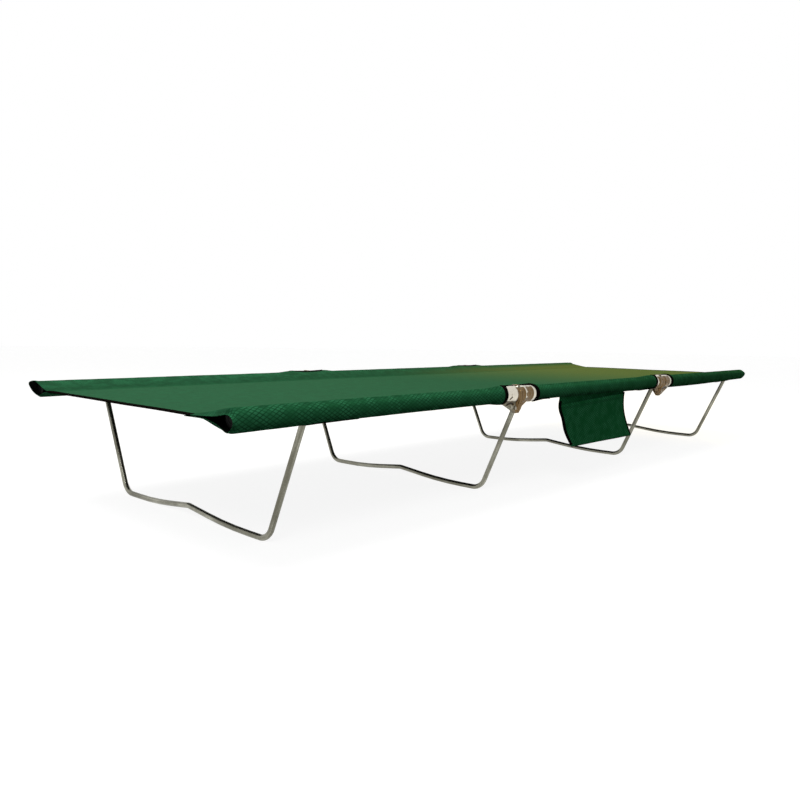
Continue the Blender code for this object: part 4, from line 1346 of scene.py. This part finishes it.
# Cast hinges. In a half's own terms u runs from the joint into the half, v is outboard of
# the rail's line and w is up.
casting = {
    "voxel": 0.0008,
    "flatTop": (0.0078, 0.0157),        # from this u on, the barrel is flat at this w
    "bore": 0.0130,             # for the rail tube, from boreStart on
    "boreStart": 0.0077,
    "jointGap": 0.0003,         # from the joint plane to each half
    "faceTop": 0.0095,          # that plane ends here, under the knuckles
    # Barrels, as (radius, u) points
    "endProfile": ((0.0, 0.0003), (0.0158, 0.0003), (0.0156, 0.005), (0.0152, 0.0085), (0.0152, 0.0115),
                   (0.0158, 0.0140), (0.0170, 0.0160), (0.0172, 0.0190), (0.0166, 0.0225),
                   (0.0163, 0.034), (0.0163, 0.0425), (0.0164, 0.0462), (0.0161, 0.0482),
                   (0.0152, 0.049), (0.0, 0.049)),
    "middleProfile": ((0.0, 0.0003), (0.0160, 0.0003), (0.0160, 0.0068), (0.0170, 0.0086),
                      (0.0176, 0.0110), (0.0176, 0.0142), (0.0168, 0.0166), (0.0154, 0.0186),
                      (0.0153, 0.030), (0.0160, 0.0375), (0.0167, 0.0412), (0.0166, 0.0462),
                      (0.0162, 0.0482), (0.0152, 0.049), (0.0, 0.049)),
    # The flange at the joint, as (v, w) points, and the web behind it, as (u, w) points
    "flange": ((-0.0170, 0.0075), (-0.0170, -0.0085), (-0.0130, -0.0185), (0.0005, -0.0355),
               (0.0078, -0.0355), (0.0120, -0.0180), (0.0160, -0.0085), (0.0160, 0.0075), (0.013, 0.0100),
               (-0.013, 0.0100)),
    "flangeThick": {True: 0.0048, False: 0.0036},
    "web": {
        True: ((0.0003, -0.010), (0.0003, -0.0355), (0.0060, -0.0355), (0.0300, -0.0245),
               (0.0485, -0.0165), (0.0485, -0.010)),
        False: ((0.0003, -0.010), (0.0003, -0.0355), (0.0052, -0.0355), (0.0140, -0.0225),
                (0.0270, -0.0150), (0.0270, -0.010)),
    },
    "webSpan": (0.0022, 0.0082),
    "lean": 0.12,               # the lobe leans a little inboard, toward the rod behind it
    "leanFrom": 0.0165,
    # Knuckles round the hinge pin, from and to in v. The middle one is the middle half's.
    "knuckles": ((-0.0070, -0.0022), (-0.0018, 0.0048), (0.0052, 0.0086)),
    "knuckle": 0.0023,
    "knuckleSoft": 0.0006,
    "rootInset": 0.0003,
    "knuckleRoot": ((0.0001, 0.010), (0.0085, 0.010), (0.0038, 0.0168), (0.0001, 0.0168)),
    "knuckleRoom": (0.0013, 0.0002),        # round the other half's knuckles and beside them
    "boss": ((0, -0.0172), (0.0056, -0.0172), (0.0066, -0.0150), (0.0066, 0.0150), (0.0056, 0.0172),
             (0, 0.0172)),
    "bossAt": 0.0155,           # where the middle leg's pin goes through
    "peen": ((0, 0.0), (0.0040, 0.0), (0.0040, 0.0158), (0.0030, 0.0166), (0, 0.0168)),
    "peenAt": 0.0280,
    # The slot that the rod swings through, as (u, w) points
    "slot": ((0.0095, 0.0058), (0.0095, -0.05), (0.091, -0.05), (0.091, -0.006), (0.0155, 0.0058)),
    "slotWall": 0.0016,
    "slotLean": 0.25,
}


def leanOf(w, lean):
    return lean * max(0.0, -w - casting["leanFrom"])


def castHalf(isEnd):
    # One half in its own terms, as a smooth mesh of u, v, w points.
    values = casting
    along, acrossUp, acrossOut = (1, 0, 0), (0, 0, 1), (1, 0, 0)
    pin, pinAxis = (0.0, 0.0, bed["pinRise"]), (0, 1, 0)
    shape = bmesh.new()
    profile = values["endProfile" if isEnd else "middleProfile"]
    spinSolid(shape, profile, (0, 0, 0), along, acrossUp, 56)
    leaned = [(v - leanOf(w, values["lean"]), w) for v, w in values["flange"]]
    plateSolid(shape, leaned, values["jointGap"], values["flangeThick"][isEnd], lambda v, w, u: (u, v, w))
    plateSolid(shape, values["web"][isEnd], *values["webSpan"],
               lambda u, w, v: (u, v - leanOf(w, values["lean"]), w))
    radius, knuckles, soft = values["knuckle"], values["knuckles"], values["knuckleSoft"]
    inset = values["rootInset"]
    own = (knuckles[0], knuckles[2]) if isEnd else (knuckles[1],)
    for low, high in own:
        spinSolid(shape, [(0, low), (radius - soft, low), (radius, low + soft), (radius, high - soft),
                          (radius - soft, high), (0, high)], pin, pinAxis, acrossOut, 32)
        plateSolid(shape, values["knuckleRoot"], low + inset, high - inset, lambda a, b, d: (a, d, b))
    if not isEnd:
        # The boss round the leg pin, and the peened end of the rivet through its tube
        spinSolid(shape, values["boss"], (values["bossAt"], 0, 0), pinAxis, acrossOut, 32)
        spinSolid(shape, values["peen"], (values["peenAt"], 0, 0), pinAxis, acrossOut, 28)
    body = finishPiece("castBody", shape, [])
    fuse = body.modifiers.new("fuse", "REMESH")
    fuse.mode = "VOXEL"
    fuse.voxel_size = values["voxel"]

    # What is cut off it. Each tool reaches well past the half on its free sides.
    tools = []

    def addTool(name, build, *terms):
        cuts = bmesh.new()
        build(cuts, *terms)
        tools.append(finishPiece(name, cuts, []))

    bore, start, (flatStart, flat) = values["bore"], values["boreStart"], values["flatTop"]
    addTool("castBore", spinSolid, [(0, start), (bore, start), (bore, 0.06), (0, 0.06)], (0, 0, 0), along,
            acrossUp, 40)
    addTool("castPlane", plateSolid, [(-0.01, flat), (0.06, flat), (0.06, 0.03), (-0.01, 0.03)],
            -0.03, 0.03, lambda a, b, d: (max(a, flatStart), d, b))
    # The joint face itself, with room for the other half's knuckles
    top = values["faceTop"]
    addTool("castFace", plateSolid, [(-0.02, -0.05), (0.0, -0.05), (0.0, top), (-0.02, top)],
            -0.03, 0.03, lambda a, b, d: (a, d, b))
    wider, beside = values["knuckleRoom"]
    low, high = knuckles[1][0] - beside, knuckles[1][1] + beside
    rooms = ((low, high),) if isEnd else ((-0.03, low), (high, 0.03))
    for low, high in rooms:
        room = [(0, low), (radius + wider, low), (radius + wider, high), (0, high)]
        addTool("castRoom", spinSolid, room, pin, pinAxis, acrossOut, 32)
    if not isEnd:
        addTool("castSlot", plateSolid, values["slot"], -0.04, values["slotWall"],
                lambda u, w, v: (u, v - leanOf(w, values["slotLean"]), w))
    for number, tool in enumerate(tools):
        cut = body.modifiers.new(f"cut{number}", "BOOLEAN")
        cut.operation = "DIFFERENCE"
        cut.solver = "EXACT"
        cut.object = tool
        tool.hide_render = True
    even = body.modifiers.new("even", "REMESH")
    even.mode = "VOXEL"
    even.voxel_size = values["voxel"]
    soften = body.modifiers.new("soften", "SMOOTH")
    soften.factor = 0.5
    soften.iterations = 4
    mesh = appliedMesh(body)
    for tool in tools:
        bpy.data.objects.remove(tool)
    return mesh


# How brown each end's castings are, as a painted brown reflection: on their barrels, by the belts' u from
# and to, and on their lobes, where those of the end halves are brown up to endLobeTo
brownReflections = {
    "head": {"belts": {True: ((-0.01, 0.0128),), False: ((-0.01, 0.0106), (0.0152, 0.0388))},
             "belt": 0.85, "endLobe": 0.88, "endLobeTo": 0.0080, "middleLobe": 0.85},
    "foot": {"belts": {True: ((-0.01, 0.0405),), False: ((-0.01, 0.0245),)},
             "belt": 0.93, "endLobe": 0.98, "endLobeTo": 0.0330, "middleLobe": 0.98},
}

# Where the castings' tones lie, in u, v and w: painted shade and painted reflection. Each span goes from none of a
# tone to all of it.
castMarks = {
    "belowTop": (0.0146, 0.0122),       # the belts keep off the top, by w
    "outboard": (0.004, 0.009),         # and off the inboard side, by v, down to here, by w
    "lowDown": (-0.008, -0.014),
    "endLobe": (-0.0088, -0.0112),
    "brownEdge": (0.002, -0.002),
    "faceDepth": 0.52,
    "padDepth": -0.08,
    # Dark marks on the end halves, shallow grooves darkened as painted shadow lines: an arched groove over a pad, and
    # a slit above it
    "archCentre": (0.0275, -0.0215),
    "archRadii": (0.0115, 0.0058),
    "archSpan": (0.38, 0.24),           # to each side of the groove, as shares of those radii
    "archAbove": (0.001, -0.0195),      # the v and w that it starts from
    "archDepth": 1.4,
    "slitCentre": (0.0352, -0.0050),
    "slitWay": (0.61, 0.79),            # across the slit, in u and w
    "slitHalf": 0.0044,
    "slitSpan": (0.0019, 0.0012),
    "slitAbove": 0.010,                 # the v that it starts from
    "slitDepth": 1.25,
    # The middle halves' neck, by w and by u, and their lobe, in the brown painted reflection
    "neck": ((-0.0040, -0.0090), (0.0320, 0.0260)),
    "neckDepth": 0.7,
    "middleLobe": (-0.0128, -0.0155),
    # The shade under the knuckles, by w and by u, and on top of them
    "knuckle": ((0.0125, 0.0140), (0.0050, 0.0036)),
    "knuckleDepth": 0.55,
    "top": (0.0163, 0.0176),
    "topDepth": 0.62,
}


def shadingOf(u, v, w, isEnd, label):
    # How deep in painted shade and painted reflection a spot of a casting lies: 0 is bright, 1.2 is grime and painted
    # shadow.
    tones, marks = brownReflections[label], castMarks
    value = 0.0
    for low, high in tones["belts"][isEnd]:
        belt = smoothStep(low - 0.001, low + 0.001, u) * smoothStep(high + 0.001, high - 0.001, u)
        value = max(value, tones["belt"] * belt)
    # The top and the inboard side stay bright, as painted reflection
    value *= smoothStep(*marks["belowTop"], w)
    value *= max(smoothStep(*marks["outboard"], v), smoothStep(*marks["lowDown"], w))
    if isEnd:
        lobe = smoothStep(*marks["endLobe"], w)
        (archU, archW), (wide, tall) = marks["archCentre"], marks["archRadii"]
        arch = math.hypot((u - archU) / wide, (w - archW) / tall)
        pad = smoothStep(1.0, 0.7, arch)
        brown = smoothStep(*marks["brownEdge"], u - tones["endLobeTo"])
        bare = marks["faceDepth"] + marks["padDepth"] * pad
        value += (bare * (1 - brown) + tones["endLobe"] * brown - value) * lobe
        aboveV, aboveW = marks["archAbove"]
        if v > aboveV and w > aboveW:
            value = max(value, marks["archDepth"] * smoothStep(*marks["archSpan"], abs(arch - 1.0)))
        (slitU, slitW), (wayU, wayW) = marks["slitCentre"], marks["slitWay"]
        across = abs((u - slitU) * wayU + (w - slitW) * wayW)
        along = abs((u - slitU) * wayW - (w - slitW) * wayU)
        if v > marks["slitAbove"] and along < marks["slitHalf"]:
            value = max(value, marks["slitDepth"] * smoothStep(*marks["slitSpan"], across))
    else:
        neckW, neckU = marks["neck"]
        value = max(value, marks["neckDepth"] * smoothStep(*neckW, w) * smoothStep(*neckU, u))
        value += (tones["middleLobe"] - value) * smoothStep(*marks["middleLobe"], w)
    knuckleW, knuckleU = marks["knuckle"]
    knuckle = marks["knuckleDepth"] * smoothStep(*knuckleW, w) * smoothStep(*knuckleU, u)
    return max(value, knuckle, marks["topDepth"] * smoothStep(*marks["top"], w))


castMetal = makeCastMetal(castFinish)
halves = {True: castHalf(True), False: castHalf(False)}
print("cast halves:", [len(m.polygons) for m in halves.values()], "faces")
for end, label in ends:
    for side, rail in sides:
        for isEnd, kind, body in ((True, "end", f"{label}_section"), (False, "middle", "middle_section")):
            shape = bmesh.new()
            shape.from_mesh(halves[isEnd])
            marks = shape.verts.layers.float.new("hollow")
            shape.normal_update()
            for vert in shape.verts:
                vert[marks] = shadingOf(*vert.co, isEnd, label)
                # Grime and the painted shadow lines sink into shallow grooves
                vert.co -= vert.normal * 0.0008 * smoothStep(0.95, 1.25, vert[marks])
            outward = end if isEnd else -end
            place = Matrix.Translation((end * bed["hingeX"], side * bed["railY"], bed["railZ"]))
            place = place @ Matrix.Diagonal((outward, side, 1, 1))
            bmesh.ops.transform(shape, matrix=place, verts=shape.verts[:])
            if outward * side < 0:
                bmesh.ops.reverse_faces(shape, faces=shape.faces[:])
            piece = finishPiece(f"{label}_{rail}_cast_{kind}_half", shape, [castMetal])
            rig.ride(piece, body)
            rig.slot(piece, "cast_metal")
            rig.replaces(piece, f"{label}_{rail}_hinge_{kind}_half")
print("hinges made")


# Pins, rivets and studs, turned with slightly domed heads
pins = {
    # radius, half length under the heads, head radius, dome
    "hinge": (0.0015, 0.0080, 0.0018, 0.0003),
    "rivet": (0.0024, 0.0166, 0.0042, 0.0006),
    "leg": (0.0030, 0.0174, 0.0038, 0.0005),
    "stud": (0.0022, 0.0046, 0.0034, 0.0010),
    "hidden": (0.0030, 0.0122, None, None),         # no heads: the sleeve covers it
}
pinPlaces = {
    "hingeOut": 0.0008,         # outboard of the rail's line
    "rivetOff": 0.030,          # from the joint, along the bed
    "studOff": 0.0095,
    "studOut": 0.0037,
    "studDrop": 0.025,
}


def makePin(name, kind, centre, material, node, body):
    radius, half, headRadius, dome = pins[kind]
    shape = bmesh.new()
    if headRadius:
        under = 0.0002
        side = [(0.0, half + dome), (headRadius * 0.5, half + dome * 0.85),
                (headRadius * 0.85, half + dome * 0.45), (headRadius, half + 0.0001),
                (headRadius, half - under), (radius, half - under)]
    else:
        soft = 0.0004
        side = [(0.0, half), (radius - soft, half), (radius, half - soft)]
    profile = [(r, -a) for r, a in side] + [(r, a) for r, a in reversed(side)]
    spinSolid(shape, profile, centre, (0, 1, 0), (1, 0, 0), 28)
    piece = finishPiece(name, inOrder(shape), [material])
    piece.data.set_sharp_from_angle(angle=math.radians(50))
    # For the pins of cast metal: bright or brown with the painted reflection, as the castings round them
    marks = piece.data.attributes.new("hollow", "FLOAT", "POINT")
    for mark in marks.data:
        mark.value = 0.75 if name.startswith("foot") or kind == "leg" else 0.0
    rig.ride(piece, body)
    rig.slot(piece, "zinc_plated_steel")
    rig.replaces(piece, node)


pinMetal = makeMetal("platedPin", metalFinish["platedPin"])
darkPinMetal = makeMetal("agedPin", metalFinish["agedPin"])
for end, label in ends:
    for side, rail in sides:
        name, section = f"{label}_{rail}", f"{label}_section"
        y, z, hinge = side * bed["railY"], bed["railZ"], end * bed["hingeX"]
        pinPlace = (hinge, y + side * pinPlaces["hingeOut"], z + bed["pinRise"])
        rivetPlace = (hinge + end * pinPlaces["rivetOff"], y, z)
        middlePlace, endPlace = (end * bed["middleLegX"], y, z), (end * bed["endLegX"], y, z)
        studX, studY = hinge + end * pinPlaces["studOff"], y + side * pinPlaces["studOut"]
        studPlace = (studX, studY, z - pinPlaces["studDrop"])
        for tail, kind, centre, metal, node, body in (
            ("pin", "hinge", pinPlace, darkPinMetal, "hinge_pin", "middle_section"),
            ("rivet", "rivet", rivetPlace, castMetal, "rail_rivet", section),
            ("leg_bolt", "leg", middlePlace, castMetal, "middle_leg_pin", "middle_section"),
            ("stud", "stud", studPlace, pinMetal, "hinge_stud", section),
            ("end_leg_bolt", "hidden", endPlace, pinMetal, "end_leg_pin", section),
        ):
            makePin(f"{name}_{tail}", kind, centre, metal, f"{name}_{node}", body)


# End plugs, turned, with a rounded cap
plug = {
    "inset": 0.018,         # the tube's end, in from the cloth's
    # Half its section, as (radius, along) points from the tube's end
    "section": ((0.0, -0.015), (0.0106, -0.015), (0.0110, -0.0146), (0.0110, 0.0003), (0.0127, 0.0003),
                (0.0127, 0.0021), (0.0121, 0.0030), (0.0108, 0.0033), (0.0060, 0.0033), (0.0054, 0.0027),
                (0.0, 0.0027)),
}


def makePlug(name, end, side, material, node, body):
    place = (end * (bed["endX"] - plug["inset"]), side * bed["railY"], bed["railZ"])
    shape = bmesh.new()
    spinSolid(shape, plug["section"], place, (end, 0, 0), (0, 0, 1), 36)
    piece = finishPiece(name, inOrder(shape), [material])
    piece.data.set_sharp_from_angle(angle=math.radians(40))
    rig.ride(piece, body)
    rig.slot(piece, "black_plastic")
    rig.replaces(piece, node)


plastic = makePlastic()
for end, label in ends:
    for side, rail in sides:
        makePlug(f"{label}_{rail}_plug", end, side, plastic, f"{label}_{rail}_rail_plug", f"{label}_section")

# The rails stay as the CAD has them, in drawn aluminium
aluminium = makeMetal("drawnAluminium", metalFinish["drawnAluminium"])
for name, node in frame["nodes"].items():
    if name.endswith("_rail"):
        for slotItem in node.material_slots:
            slotItem.material = aluminium
print("pins, plugs and rails finished")

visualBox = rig.bounds()
with open("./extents.json", "w") as out:
    json.dump({
        "cad": [list(corner) for corner in cadBox],
        "visual": [list(corner) for corner in visualBox],
    }, out)
